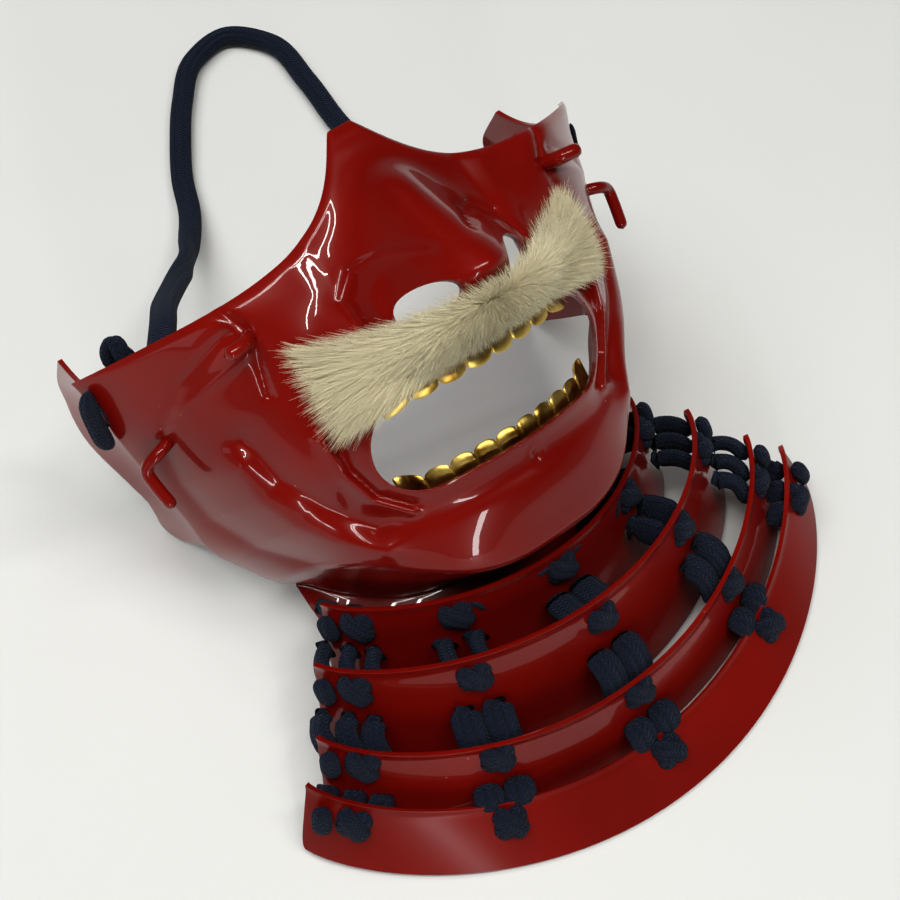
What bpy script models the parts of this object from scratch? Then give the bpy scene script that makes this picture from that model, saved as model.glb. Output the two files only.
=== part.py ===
"""Samurai face guard: a lacquered half mask with a laced throat guard, lying face up.

The mask is worked out in its own face frame: x to the right, f out of the face and u up the
face.  face_to_world() leans that frame back by MASK_TILT and gives world metres, +Z up.
Every object is one closed body.  Sections and edges are short tables of shares of the named
sizes below, read with smooth curves.
"""

import math

import bmesh
import bpy
import numpy as np
from mathutils import Matrix, Vector
from mathutils.bvhtree import BVHTree

# Driving sizes, in metres and degrees
MASK_TILT = math.radians(39.5)
MASK_FORWARD = -0.0082
MASK_LIFT = 0.0492
FACE_HALF_WIDTH = 0.084
FACE_DEPTH = 0.084
FACE_HEIGHT = 0.1245
CHIN_LEVEL = -0.0655
SHELL_WALL = 0.0015
CLEARANCE = 0.0003

BROW_EDGE_LEVEL = 0.0335
BRIDGE_RISE = 0.0255
BRIDGE_SPREAD = 0.0140
BRIDGE_TOP_HALF = 0.0035
BRIDGE_POWER = 1.15

NOSE_LENGTH = 0.031
NOSE_TIP_LEVEL = 0.0145
NOSE_HALF_WIDTH = 0.0165
NOSTRIL_HALF_WIDTH = 0.0064
NOSTRIL_HALF_HEIGHT = 0.0058
NOSTRIL_OFFSET = 0.0136
NOSTRIL_LEVEL = 0.0100

MOUTH_HALF_WIDTH = 0.0375
MOUTH_TOP = -0.0065
MOUTH_BOTTOM = -0.0345
LIP_HEIGHT = 0.0022
LIP_WIDTH = 0.0035
CUT_NEAR = 0.045
CUT_FAR = 0.130

TOOTH_DEPTH = 0.0044
TEETH_WALL = 0.0010
TEETH_GAP = 0.0008
TOOTH_TUCK = 0.0032
TOOTH_SCALLOP = 0.45
TOOTH_PROBE_START = 0.020
UPPER_END_GAP = 0.0070
LOWER_END_GAP = 0.0030
UPPER_TEETH = 8
LOWER_TEETH = 10

PEG_WIRE = 0.0042
PEG_HOLE_LEVEL = 0.0236
PEG_HOLE_OFFSET = 0.0493
PEG_STEPS = ((0.0020, 0.0020, 0.0000), (0.0055, 0.0003, -0.0006))
HOOK_WIRE = 0.0036
HOOK_INSET = 0.0092
HOOK_LEVEL = 0.0074
HOOK_STEPS = ((0.0052, -0.0042, -0.0022), (-0.0019, 0.0002, -0.0132))
WIRE_STAND = 0.0030

WING_WALL = 0.0014
WING_LENGTH = 0.0695
WING_TOP_LEVEL = 0.0394
WING_REACH = 0.046
WING_ROOT = 0.0096
WING_VALLEY = 0.003
WING_TUCK = 0.004
WING_SEAT = 0.0014
WING_INNER_TURN = 0.968

MOUSTACHE_HALF_WIDTH = 0.0505
MOUSTACHE_END_HEIGHT = 0.0235
MOUSTACHE_MID_HEIGHT = 0.0108
MOUSTACHE_LEVEL = 0.0008
MOUSTACHE_THICK = 0.0085
MOUSTACHE_SAG = 0.0044
MOUSTACHE_GAP = 0.0012
LOCK_DEPTH = 0.07
LOCK_REACH = 0.0012
SEAT_REACH = 0.0021

COLLAR_HALF_WIDTH = 0.0985
COLLAR_REACH = 0.1655
COLLAR_HEIGHT = 0.0500
LAME_WALL = 0.0015
LACE_HOLE = 0.0034
LACE_THICK = 0.0029
KNOT_WIDTH = 0.0125
KNOT_HEIGHT = 0.0100
KNOT_THICK = 0.0048
PAIR_WIDTH = 0.0155
EDGE_WIDENING = 1.25
LACE_BOW = 0.06
LACE_LEAD = 0.16
LACE_TAIL = 0.10
LACE_TAPER = 0.9
KNOT_CROWN = 0.5
KNOT_DOWN = 0.25
HANG_DOWN = 0.56
PLATE_BOW = 1.5
CORNER_SHARE = 0.018
NECK_DROP = 0.0007
NECK_SEAT_SHARE = 0.34

STRAP_WIDTH = 0.0080
STRAP_SLOT_WIDTH = 0.0100
STRAP_SLOT_HEIGHT = 0.0040
STRAP_SLOT_INSET = 0.0065
STRAP_SLOT_LEVEL = 0.0225
STRAP_LUMP_WIDTH = 0.0130
STRAP_LUMP_HEIGHT = 0.0075
STRAP_LUMP_DEPTH = 0.0060
STRAP_LOOP_LENGTH = 0.0185
STRAP_LOOP_RISE = {"l": 0.0056, "r": 0.0016}

RED = (0.33, 0.012, 0.008, 1.0)
NAVY = (0.008, 0.014, 0.045, 1.0)
FUR = (0.66, 0.60, 0.42, 1.0)
GOLD = (0.80, 0.55, 0.14, 1.0)

# Face sections, top to bottom: level as a share of FACE_HEIGHT over the chin, half width as a
# share of FACE_HALF_WIDTH, back of the section's oval, its cut rear edge and its front as
# shares of FACE_DEPTH, and how square the section is
FACE_SECTIONS = (
    (1.000, 1.089, 0.000, 0.286, 0.798, 2.00),
    (0.900, 1.089, 0.000, 0.286, 0.835, 2.00),
    (0.800, 1.089, 0.000, 0.286, 0.850, 2.00),
    (0.727, 1.065, -0.060, 0.262, 0.875, 2.00),
    (0.620, 1.036, -0.119, 0.232, 0.929, 2.00),
    (0.490, 0.994, -0.167, 0.179, 1.000, 1.85),
    (0.390, 0.952, -0.179, 0.125, 0.985, 1.78),
    (0.300, 0.911, -0.179, 0.060, 0.940, 1.75),
    (0.213, 0.815, -0.143, 0.036, 0.905, 1.90),
    (0.165, 0.762, -0.119, 0.054, 0.893, 2.05),
    (0.110, 0.690, -0.036, 0.071, 0.875, 2.20),
    (0.045, 0.631, 0.060, 0.143, 0.845, 2.30),
    (-0.030, 0.583, 0.143, 0.214, 0.800, 2.30),
)

# Jaw ridge: share of a quarter turn from the middle to the rear edge, level as a share
JAW_RIDGE = (
    (0.00, 0.000), (0.15, 0.004), (0.30, 0.030), (0.45, 0.085),
    (0.60, 0.150), (0.75, 0.178), (0.88, 0.165), (1.00, 0.135),
)
# Throat edge under the jaw: x, f and u as shares of FACE_HALF_WIDTH, FACE_DEPTH and FACE_HEIGHT
THROAT_EDGE = (
    (0.00, 0.000, 0.350, -0.062), (0.25, 0.190, 0.330, -0.055), (0.50, 0.400, 0.240, -0.025),
    (0.75, 0.560, 0.120, 0.045), (0.90, 0.640, 0.070, 0.100), (1.00, 0.672, 0.050, 0.118),
)
# Nose ridge: level above and below the tip as shares of NOSE_LENGTH, height and half width as
# shares of NOSE_LENGTH and NOSE_HALF_WIDTH
NOSE_PROFILE = (
    (1.30, 0.00, 0.30), (1.05, 0.06, 0.34), (0.85, 0.36, 0.44), (0.60, 0.58, 0.58),
    (0.30, 0.82, 0.74), (0.08, 0.98, 0.92), (-0.04, 1.00, 1.00), (-0.16, 0.86, 1.06),
    (-0.30, 0.52, 1.04), (-0.42, 0.22, 0.96), (-0.60, 0.04, 0.90), (-0.90, 0.00, 0.90),
)
# Low swellings of the cheek: x, u, half width, half height, rise, as shares of
# FACE_HALF_WIDTH (x and half width), FACE_HEIGHT (u and half height) and FACE_DEPTH (rise)
SWELLINGS = (
    (0.620, 0.230, 0.17, 0.110, 0.065),
    (0.640, -0.170, 0.15, 0.120, 0.060),
    (0.500, -0.020, 0.06, 0.100, -0.022),
    (0.000, -0.390, 0.22, 0.060, 0.020),
)
# Wing outline, down its outer edge: level along WING_LENGTH, reach back as a share of
# WING_REACH, x as a share of FACE_HALF_WIDTH; the inner edge follows the cheek
WING_EDGE = (
    (0.00, 0.36, 0.964), (0.08, 0.72, 0.967), (0.18, 0.84, 0.969), (0.28, 0.98, 0.967),
    (0.38, 1.05, 0.960), (0.48, 1.03, 0.946), (0.58, 0.94, 0.930), (0.66, 0.89, 0.916),
    (0.74, 0.88, 0.900), (0.82, 1.00, 0.887), (0.91, 1.150, 0.871), (0.97, 1.04, 0.856),
    (1.00, 0.78, 0.842),
)

# Plates of the throat guard: name, then top edge and bottom edge as half width (share of
# COLLAR_HALF_WIDTH), y of the ends and of the middle (of COLLAR_REACH, forward of the face) and
# z of the ends and of the middle (of COLLAR_HEIGHT)
PLATE_EDGES = (
    ("neck_plate", (0.477, 0.272, 0.477, 0.300, 0.430),
     (0.569, 0.363, 0.562, 0.260, 0.380)),
    ("lame_1", (0.589, 0.405, 0.613, 0.700, 1.000),
     (0.650, 0.483, 0.671, 0.160, 0.400)),
    ("lame_2", (0.711, 0.486, 0.716, 0.660, 0.940),
     (0.787, 0.568, 0.792, 0.160, 0.280)),
    ("lame_3", (0.822, 0.583, 0.831, 0.560, 0.530),
     (0.888, 0.644, 0.857, 0.080, 0.060)),
    ("lame_4", (0.914, 0.628, 0.900, 0.450, 0.220),
     (1.000, 0.671, 1.000, 0.060, 0.032)),
)
# Columns of lacing round each plate, as shares of a quarter turn from the middle
LACE_COLUMNS = (-0.78, -0.36, 0.0, 0.36, 0.78)

# Route of the strap, from the left cheek round the table to the right cheek, metres
STRAP_ROUTE = (
    (-0.0677, -0.0068, 0.0860), (-0.0647, -0.0051, 0.0850), (-0.0590, 0.0030, 0.0815),
    (-0.0530, 0.0125, 0.0770), (-0.0460, 0.0260, 0.0660), (-0.0380, 0.0400, 0.0515),
    (-0.0290, 0.0530, 0.0390), (-0.0180, 0.0680, 0.0255), (-0.0070, 0.0850, 0.0140),
    (0.0030, 0.1020, 0.0072), (0.0105, 0.1190, 0.0047), (0.0200, 0.1350, 0.0047),
    (0.0315, 0.1515, 0.0047), (0.0470, 0.1675, 0.0047), (0.0640, 0.1712, 0.0047),
    (0.0755, 0.1580, 0.0047), (0.0750, 0.1320, 0.0047), (0.0715, 0.1060, 0.0050),
    (0.0700, 0.0860, 0.0085), (0.0685, 0.0650, 0.0170), (0.0670, 0.0440, 0.0300),
    (0.0640, 0.0240, 0.0460), (0.0605, 0.0080, 0.0640), (0.0585, 0.0010, 0.0765),
    (0.0608, -0.0028, 0.0832), (0.0647, -0.0051, 0.0850), (0.0677, -0.0068, 0.0860),
)


def smooth_read(keys, values, at):
    """Value at a key on a smooth curve through a short table (cubic Hermite spans)."""
    keys = np.asarray(keys, float)
    values = np.asarray(values, float)
    if keys[0] > keys[-1]:
        keys, values = keys[::-1], values[::-1]
    at = min(max(at, keys[0]), keys[-1])
    slopes = np.gradient(values, keys)
    k = min(int(np.searchsorted(keys, at, side="right")) - 1, len(keys) - 2)
    span = keys[k + 1] - keys[k]
    t = (at - keys[k]) / span
    return (
        (2 * t**3 - 3 * t**2 + 1) * values[k]
        + (t**3 - 2 * t**2 + t) * span * slopes[k]
        + (-2 * t**3 + 3 * t**2) * values[k + 1]
        + (t**3 - t**2) * span * slopes[k + 1]
    )


def read_column(table, column, at):
    """Value of one column of a table whose first column is the key."""
    return smooth_read([row[0] for row in table], [row[column] for row in table], at)


def blend(start, end, share):
    """Straight blend of two numbers or two tuples."""
    if isinstance(start, (tuple, list, Vector)):
        return tuple(a + (b - a) * share for a, b in zip(start, end))
    return start + (end - start) * share


def face_to_world(x, forward, up):
    """World place of a point of the face frame."""
    lean = MASK_TILT
    return Vector((
        x,
        up * math.cos(lean) - forward * math.sin(lean) + MASK_FORWARD,
        up * math.sin(lean) + forward * math.cos(lean) + MASK_LIFT,
    ))


def brow_edge(x):
    """Level of the upper edge of the mask: a narrow bridge peak over level cheeks."""
    reach = max(abs(x) - BRIDGE_TOP_HALF, 0.0)
    return BROW_EDGE_LEVEL + BRIDGE_RISE * math.exp(-((reach / BRIDGE_SPREAD) ** BRIDGE_POWER))


def mouth_distance(x, up):
    """Signed distance from the mouth opening's outline, in the x and up plane."""
    middle = (MOUTH_TOP + MOUTH_BOTTOM) / 2
    radius = (MOUTH_TOP - MOUTH_BOTTOM) / 2
    straight = MOUTH_HALF_WIDTH - radius
    return math.hypot(max(abs(x) - straight, 0.0), up - middle) - radius


def mouth_rim(x, top):
    """Level of the mouth opening's upper or lower edge over x."""
    middle = (MOUTH_TOP + MOUTH_BOTTOM) / 2
    radius = (MOUTH_TOP - MOUTH_BOTTOM) / 2
    past = max(abs(x) - (MOUTH_HALF_WIDTH - radius), 0.0)
    rise = math.sqrt(max(radius**2 - past**2, 0.0))
    return middle + rise if top else middle - rise


def nose_rise(x, up):
    """Height of the nose over the face."""
    drop = (up - NOSE_TIP_LEVEL) / NOSE_LENGTH
    if drop > NOSE_PROFILE[0][0] or drop < NOSE_PROFILE[-1][0]:
        return 0.0
    height = NOSE_LENGTH * read_column(NOSE_PROFILE, 1, drop)
    half = NOSE_HALF_WIDTH * read_column(NOSE_PROFILE, 2, drop)
    return max(height, 0.0) * math.exp(-0.693 * (abs(x) / half) ** 2.1)


def face_relief(x, up):
    """Everything that stands out from the plain sections: nose, cheeks and lips."""
    rise = nose_rise(x, up)
    for centre_x, centre_up, half_width, half_height, height in SWELLINGS:
        across = (abs(x) - centre_x * FACE_HALF_WIDTH) / (half_width * FACE_HALF_WIDTH)
        along = (up - centre_up * FACE_HEIGHT) / (half_height * FACE_HEIGHT)
        rise += height * FACE_DEPTH * math.exp(-(across**2) - along**2)
    rise += LIP_HEIGHT * math.exp(-((mouth_distance(x, up) / LIP_WIDTH) ** 2))
    return rise


def face_base(turn, up):
    """Point of the plain face: turn runs from -1 to 1 round the section, from edge to edge."""
    level = (up - CHIN_LEVEL) / FACE_HEIGHT
    width = FACE_HALF_WIDTH * read_column(FACE_SECTIONS, 1, level)
    back, edge, front = (
        FACE_DEPTH * read_column(FACE_SECTIONS, column, level) for column in (2, 3, 4)
    )
    power = 2 / read_column(FACE_SECTIONS, 5, level)
    end = math.acos(max((edge - back) / (front - back), 0.0) ** (1 / power))
    angle = abs(turn) * end
    x = math.copysign(width * math.sin(angle) ** power, turn)
    return x, back + (front - back) * max(math.cos(angle), 0.0) ** power


def face_point(turn, up):
    """Point of the finished outer face in the face frame."""
    x, forward = face_base(turn, up)
    return x, forward + face_relief(x, up), up


def face_forward(x, up):
    """Forward place of the outer face over a given x, found by halving."""
    low, high = 0.0, 1.0
    for _ in range(30):
        middle = (low + high) / 2
        if face_base(middle, up)[0] < abs(x):
            low = middle
        else:
            high = middle
    return face_base(low, up)[1] + face_relief(x, up)


def jaw_level(turn):
    """Level of the jaw ridge at a turn."""
    return CHIN_LEVEL + FACE_HEIGHT * read_column(JAW_RIDGE, 1, abs(turn))


def throat_point(turn):
    """Point of the throat edge under the jaw."""
    share = abs(turn)
    x = math.copysign(FACE_HALF_WIDTH * read_column(THROAT_EDGE, 1, share), turn)
    forward = FACE_DEPTH * read_column(THROAT_EDGE, 2, share)
    return x, forward, CHIN_LEVEL + FACE_HEIGHT * read_column(THROAT_EDGE, 3, share)


def top_point(turn):
    """Point of the upper edge at a turn."""
    up = BROW_EDGE_LEVEL
    for _ in range(12):
        up = brow_edge(face_base(turn, up)[0])
    return face_point(turn, up)


def face_turns(half_count):
    """Turns of the columns, closer together near the nose."""
    half = [(i / half_count) ** 1.35 for i in range(1, half_count + 1)]
    return [-turn for turn in reversed(half)] + [0.0] + half


def face_grid(half_count, rows, under_rows):
    """Rows of face-frame points from the upper edge over the jaw ridge to the throat edge."""
    turns = face_turns(half_count)
    grid = []
    for row in range(rows + 1):
        line = []
        for turn in turns:
            top = top_point(turn)[2]
            line.append(face_point(turn, blend(top, jaw_level(turn), row / rows)))
        grid.append(line)
    for row in range(1, under_rows + 1):
        share = row / under_rows
        grid.append([blend(face_point(t, jaw_level(t)), throat_point(t), share) for t in turns])
    return grid


def new_material(name, colour, roughness, metallic):
    """Plain Principled material."""
    material = bpy.data.materials.new(name)
    material.use_nodes = True
    shader = material.node_tree.nodes["Principled BSDF"]
    shader.inputs["Base Color"].default_value = colour
    shader.inputs["Roughness"].default_value = roughness
    shader.inputs["Metallic"].default_value = metallic
    return material


def add_object(name, mesh, collection, material=None):
    """Link a mesh as a named object."""
    item = bpy.data.objects.new(name, mesh)
    collection.objects.link(item)
    if material is not None:
        mesh.materials.clear()
        mesh.materials.append(material)
    return item


def closed_loft(name, rings, cap=True):
    """Closed mesh through rings of equal length, its ends closed with flat faces."""
    bm = bmesh.new()
    loops = [[bm.verts.new(point) for point in ring] for ring in rings]
    count = len(rings[0])
    for here, there in zip(loops, loops[1:]):
        for k in range(count):
            bm.faces.new((here[k], here[(k + 1) % count], there[(k + 1) % count], there[k]))
    if cap:
        bm.faces.new(list(reversed(loops[0])))
        bm.faces.new(loops[-1])
    return finish_mesh(name, bm)


def finish_mesh(name, bm):
    """Turn faces outward and store the mesh, shaded smooth where it is round."""
    bmesh.ops.recalc_face_normals(bm, faces=bm.faces)
    if bm.calc_volume(signed=True) < 0:
        bmesh.ops.reverse_faces(bm, faces=bm.faces)
    mesh = bpy.data.meshes.new(name)
    bm.to_mesh(mesh)
    bm.free()
    mesh.shade_smooth()
    mesh.set_sharp_from_angle(angle=math.radians(40))
    return mesh


def shell_mesh(name, grid, wall):
    """Closed sheet of even thickness: the outer side is the grid, the wall lies behind it."""
    rows, columns = len(grid), len(grid[0])
    bm = bmesh.new()
    outer = [[bm.verts.new(point) for point in line] for line in grid]
    for r in range(rows - 1):
        for c in range(columns - 1):
            bm.faces.new((outer[r][c], outer[r + 1][c], outer[r + 1][c + 1], outer[r][c + 1]))
    bm.normal_update()
    inner = [[bm.verts.new(v.co - v.normal * wall) for v in line] for line in outer]
    for r in range(rows - 1):
        for c in range(columns - 1):
            bm.faces.new((inner[r][c], inner[r][c + 1], inner[r + 1][c + 1], inner[r + 1][c]))
    rim = [(0, c) for c in range(columns)]
    rim += [(r, columns - 1) for r in range(1, rows)]
    rim += [(rows - 1, c) for c in range(columns - 2, -1, -1)]
    rim += [(r, 0) for r in range(rows - 2, 0, -1)]
    for (r, c), (rn, cn) in zip(rim, rim[1:] + rim[:1]):
        bm.faces.new((outer[r][c], outer[rn][cn], inner[rn][cn], inner[r][c]))
    return finish_mesh(name, bm)


def tube_mesh(name, points, thickness, resolution):
    """Closed tube along a route, made from a curve with filled caps."""
    curve = bpy.data.curves.new(name, "CURVE")
    curve.dimensions = "3D"
    curve.bevel_depth = thickness / 2
    curve.bevel_resolution = resolution
    curve.use_fill_caps = True
    spline = curve.splines.new("POLY")
    spline.points.add(len(points) - 1)
    for knot, point in zip(spline.points, points):
        knot.co = (*point, 1.0)
    holder = bpy.data.objects.new(name + "_route", curve)
    bpy.context.scene.collection.objects.link(holder)
    bpy.context.view_layer.update()
    graph = bpy.context.evaluated_depsgraph_get()
    mesh = bpy.data.meshes.new_from_object(holder.evaluated_get(graph))
    bpy.data.objects.remove(holder)
    bm = bmesh.new()
    bm.from_mesh(mesh)
    bpy.data.meshes.remove(mesh)
    bmesh.ops.remove_doubles(bm, verts=bm.verts, dist=0.00001)
    return finish_mesh(name, bm)


def smooth_route(points, spacing):
    """Points at even spacing along a smooth curve through a route."""
    knots = np.array(points, float)
    steps = np.linalg.norm(np.diff(knots, axis=0), axis=1)
    keys = np.concatenate([[0.0], np.cumsum(steps)])
    count = max(int(round(keys[-1] / spacing)), 2)
    return [
        Vector([smooth_read(keys, knots[:, axis], at) for axis in range(3)])
        for at in np.linspace(0.0, keys[-1], count + 1)
    ]


def add_cutter(name, mesh, cutters):
    """Store a hidden cutting body."""
    item = add_object(name, mesh, cutters)
    item.hide_render = True
    item.display_type = "WIRE"
    return item


def cut(target, cutter):
    """Subtract a cutter from a target with an exact Boolean."""
    change = target.modifiers.new("cut_" + cutter.name, "BOOLEAN")
    change.operation = "DIFFERENCE"
    change.solver = "EXACT"
    change.object = cutter


def prism_cutter(name, outline, near, far, cutters):
    """Cutter along the face's forward axis from an outline of x and up."""
    rings = [[face_to_world(x, f, up) for x, up in outline] for f in (near, far)]
    return add_cutter(name, closed_loft(name, rings), cutters)


def rod_cutter(name, start, end, diameter, sides, cutters):
    """Round cutter between two world points."""
    start, end = Vector(start), Vector(end)
    axis = (end - start).normalized()
    side = axis.orthogonal().normalized()
    other = axis.cross(side)
    rings = []
    for centre in (start, end):
        rings.append([
            centre + (side * math.cos(a) + other * math.sin(a)) * diameter / 2
            for a in (2 * math.pi * k / sides for k in range(sides))
        ])
    return add_cutter(name, closed_loft(name, rings), cutters)


def mouth_outline(steps):
    """Outline of the mouth opening: two straight runs and two half circles."""
    middle = (MOUTH_TOP + MOUTH_BOTTOM) / 2
    radius = (MOUTH_TOP - MOUTH_BOTTOM) / 2
    straight = MOUTH_HALF_WIDTH - radius
    points = []
    for side in (1, -1):
        for k in range(steps + 1):
            angle = math.pi * (k / steps - 0.5)
            points.append((
                side * (straight + radius * math.cos(angle)),
                middle + side * radius * math.sin(angle),
            ))
    return points


def side_frame(side, x, up):
    """Outer face point and its outward normal at an x and level, in world space."""
    step = 0.0015
    spot = face_to_world(side * x, face_forward(x, up), up)
    across = face_to_world(side * (x - step), face_forward(x - step, up), up)
    above = face_to_world(side * x, face_forward(x, up + step), up + step)
    normal = (across - spot).cross(above - spot).normalized() * side
    if normal.z < 0:
        normal.negate()
    return spot, normal


def slot_frame(side):
    """Place, outward normal, backward way and way along the rear edge of a strap slot."""
    spot, normal = side_frame(side, FACE_HALF_WIDTH - STRAP_SLOT_INSET, STRAP_SLOT_LEVEL)
    along = face_to_world(0, -1, 0) - face_to_world(0, 0, 0)
    along = (along - normal * along.dot(normal)).normalized()
    return spot, normal, along, normal.cross(along).normalized()


def build_shell(collection, cutters, material):
    """Face shell with mouth, nostrils, peg and hook holes and strap slots."""
    grid = [[face_to_world(*point) for point in line] for line in face_grid(13, 19, 2)]
    shell = add_object("face_shell", shell_mesh("face_shell", grid, SHELL_WALL), collection, material)
    cut(shell, prism_cutter("mouth_cutter", mouth_outline(8), CUT_NEAR, CUT_FAR, cutters))
    for side, tag in ((-1, "l"), (1, "r")):
        outline = [
            (side * NOSTRIL_OFFSET + NOSTRIL_HALF_WIDTH * math.cos(a),
             NOSTRIL_LEVEL + NOSTRIL_HALF_HEIGHT * math.sin(a))
            for a in (2 * math.pi * k / 14 for k in range(14))
        ]
        cut(shell, prism_cutter("nostril_cutter_" + tag, outline, CUT_NEAR, CUT_FAR, cutters))
        for name, x, up, wire in (
            ("peg_hole_", PEG_HOLE_OFFSET, PEG_HOLE_LEVEL, PEG_WIRE),
            ("hook_hole_", FACE_HALF_WIDTH - HOOK_INSET, HOOK_LEVEL, HOOK_WIRE),
        ):
            spot, normal = side_frame(side, x, up)
            reach = normal * SHELL_WALL * 3
            cut(shell, rod_cutter(name + tag, spot - reach, spot + reach,
                                  wire + 2 * CLEARANCE, 12, cutters))
        spot, normal, along, other = slot_frame(side)
        rings = [
            lace_ring(spot + normal * depth, other, along, STRAP_SLOT_WIDTH, STRAP_SLOT_HEIGHT, 8)
            for depth in (-4 * SHELL_WALL, 4 * SHELL_WALL)
        ]
        name = "strap_slot_" + tag
        cut(shell, add_cutter(name, closed_loft(name, rings), cutters))
    return shell


def rounded_route(points, radius, steps=4):
    """Route with each inner corner replaced by a short arc-like run."""
    route = [points[0]]
    for before, corner, after in zip(points, points[1:], points[2:]):
        back, ahead = before - corner, after - corner
        reach = min(radius, back.length * 0.45, ahead.length * 0.45)
        start, end = corner + back.normalized() * reach, corner + ahead.normalized() * reach
        for k in range(steps + 1):
            t = k / steps
            route.append(start * (1 - t) ** 2 + corner * 2 * t * (1 - t) + end * t**2)
    return route + [points[-1]]


def build_wire(name, side, place, wire, steps, collection, material):
    """Bent wire through the shell: a short foot inside, out through the hole, then a turn."""
    spot, normal = side_frame(side, *place)
    points = [spot - normal * (SHELL_WALL + wire), spot + normal * WIRE_STAND]
    for across, forward, up in steps:
        step = face_to_world(side * across, forward, up) - face_to_world(0, 0, 0)
        points.append(points[-1] + step)
    route = rounded_route(points, wire)
    return add_object(name, tube_mesh(name, route, wire, 2), collection, material)


def cheek_inside(turn, up, depth):
    """Face-frame point behind the outer face, at a depth along the section's own normal."""
    step = 0.01
    ahead, behind = face_point(turn - step, up), face_point(turn, up)
    way = Vector((behind[0] - ahead[0], behind[1] - ahead[1]))
    inward = Vector((way.y, -way.x)).normalized()
    return behind[0] + inward.x * depth, behind[1] + inward.y * depth


def build_wing(side, tag, collection, material):
    """Leaf-shaped plate behind the rear edge of a cheek, with a lengthwise valley."""
    length_steps, width_steps = 11, 4
    depth = SHELL_WALL + WING_SEAT
    grid = []
    for i in range(length_steps + 1):
        share = i / length_steps
        up = WING_TOP_LEVEL - WING_LENGTH * share
        edge_x = FACE_HALF_WIDTH * read_column(WING_EDGE, 2, share)
        edge_f = WING_ROOT - WING_REACH * read_column(WING_EDGE, 1, share)
        root_up = min(up, BROW_EDGE_LEVEL - WING_TUCK)
        inner_x, inner_f = cheek_inside(WING_INNER_TURN, root_up, depth)
        root_x, root_f = cheek_inside(1.0, root_up, depth)
        line = [face_to_world(side * inner_x, inner_f, root_up)]
        for j in range(width_steps + 1):
            across = j / width_steps
            valley = WING_VALLEY * math.sin(math.pi * across) * math.sin(math.pi * share)
            line.append(face_to_world(
                side * (blend(root_x, edge_x, across) - valley),
                blend(root_f, edge_f, across),
                blend(root_up, up, across),
            ))
        grid.append(line)
    mesh = shell_mesh("cheek_wing_" + tag, grid, WING_WALL * side)
    return add_object("cheek_wing_" + tag, mesh, collection, material)


def surface_finder(item):
    """Ray finder over an object's finished mesh."""
    bpy.context.view_layer.update()
    graph = bpy.context.evaluated_depsgraph_get()
    return BVHTree.FromObject(item, graph)


def finder_forward(finder, x, up, start, heading, default):
    """Forward place where a ray along the face's forward axis meets a surface."""
    origin = face_to_world(x, start, up)
    direction = (face_to_world(x, start + heading, up) - origin).normalized()
    spot, _, _, distance = finder.ray_cast(origin, direction)
    return default if spot is None else start + heading * distance


def build_teeth(name, finder, count, top, end_gap, material, collection):
    """Scalloped strip behind a lip: one edge is tucked in, the other shows the teeth."""
    per_tooth = 4
    rows = 2
    half = MOUTH_HALF_WIDTH - end_gap
    tuck, reach = (TOOTH_TUCK, TOOTH_DEPTH) if top else (-TOOTH_TUCK, -TOOTH_DEPTH)
    columns = count * per_tooth
    places = [blend(-half, half, c / columns) for c in range(columns + 1)]
    seats = []
    for x in places:
        levels = [mouth_rim(x, top) + tuck * share for share in (0.25, 0.5, 0.75, 1.0)]
        seats.append(min(
            finder_forward(finder, x, up, TOOTH_PROBE_START, 1, face_forward(x, up)) for up in levels
        ))
    grid = []
    for r in range(rows + 1):
        line = []
        for c, x in enumerate(places):
            phase = (c / per_tooth) % 1.0
            scallop = math.sqrt(max(1 - (2 * phase - 1) ** 2, 0.0))
            rim = mouth_rim(x, top)
            shown = rim - reach * blend(1 - TOOTH_SCALLOP, 1, scallop)
            near = seats[max(c - 2, 0):c + 3]
            line.append(face_to_world(x, min(near) - TEETH_GAP, blend(rim + tuck, shown, r / rows)))
        grid.append(line)
    wall = TEETH_WALL if top else -TEETH_WALL
    return add_object(name, shell_mesh(name, grid, wall), collection, material)


def build_moustache(material, collection):
    """Bar of fur in locks: the back follows the lip, the front swells, the ends flare."""
    stations, half_ring = 21, 5
    rings = []
    for s in range(stations):
        along = 2 * s / (stations - 1) - 1
        spread = abs(along)
        height = blend(MOUSTACHE_MID_HEIGHT, MOUSTACHE_END_HEIGHT, spread**1.6)
        level = MOUSTACHE_LEVEL + MOUSTACHE_SAG * spread**2
        ends = 1.0 if 0 < s < stations - 1 else 0.72
        back, front = [], []
        for k in range(half_ring + 1):
            share = k / half_ring
            lock = LOCK_DEPTH * math.cos(math.pi * (k + s // 2))
            x = along * (MOUSTACHE_HALF_WIDTH + LOCK_REACH * math.cos(math.pi * k) * spread**8)
            up = level + height * ends * (share - 0.5)
            seat = MOUSTACHE_GAP + max(
                face_forward(along * MOUSTACHE_HALF_WIDTH + dx, up + dup)
                for dx in (-SEAT_REACH, 0.0, SEAT_REACH) for dup in (-SEAT_REACH, 0.0, SEAT_REACH)
            )
            swell = MOUSTACHE_THICK * ends * math.sqrt(max(1 - (2 * share - 1) ** 2, 0.05))
            back.append(face_to_world(x, seat, up))
            front.append(face_to_world(x, seat + swell * (1 + lock), up))
        rings.append(back + front[::-1])
    return add_object("moustache", closed_loft("moustache", rings), collection, material)


def edge_point(edge, around):
    """World point on a plate's edge: around runs from -1 to 1 from end to end."""
    half_width, end_y, mid_y, end_z, mid_z = edge
    angle = around * math.pi / 2
    bow = max(math.cos(angle), 0.0) ** PLATE_BOW
    return Vector((
        COLLAR_HALF_WIDTH * half_width * math.sin(angle),
        -COLLAR_REACH * blend(end_y, mid_y, bow),
        COLLAR_HEIGHT * blend(end_z, mid_z, bow),
    ))


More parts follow.
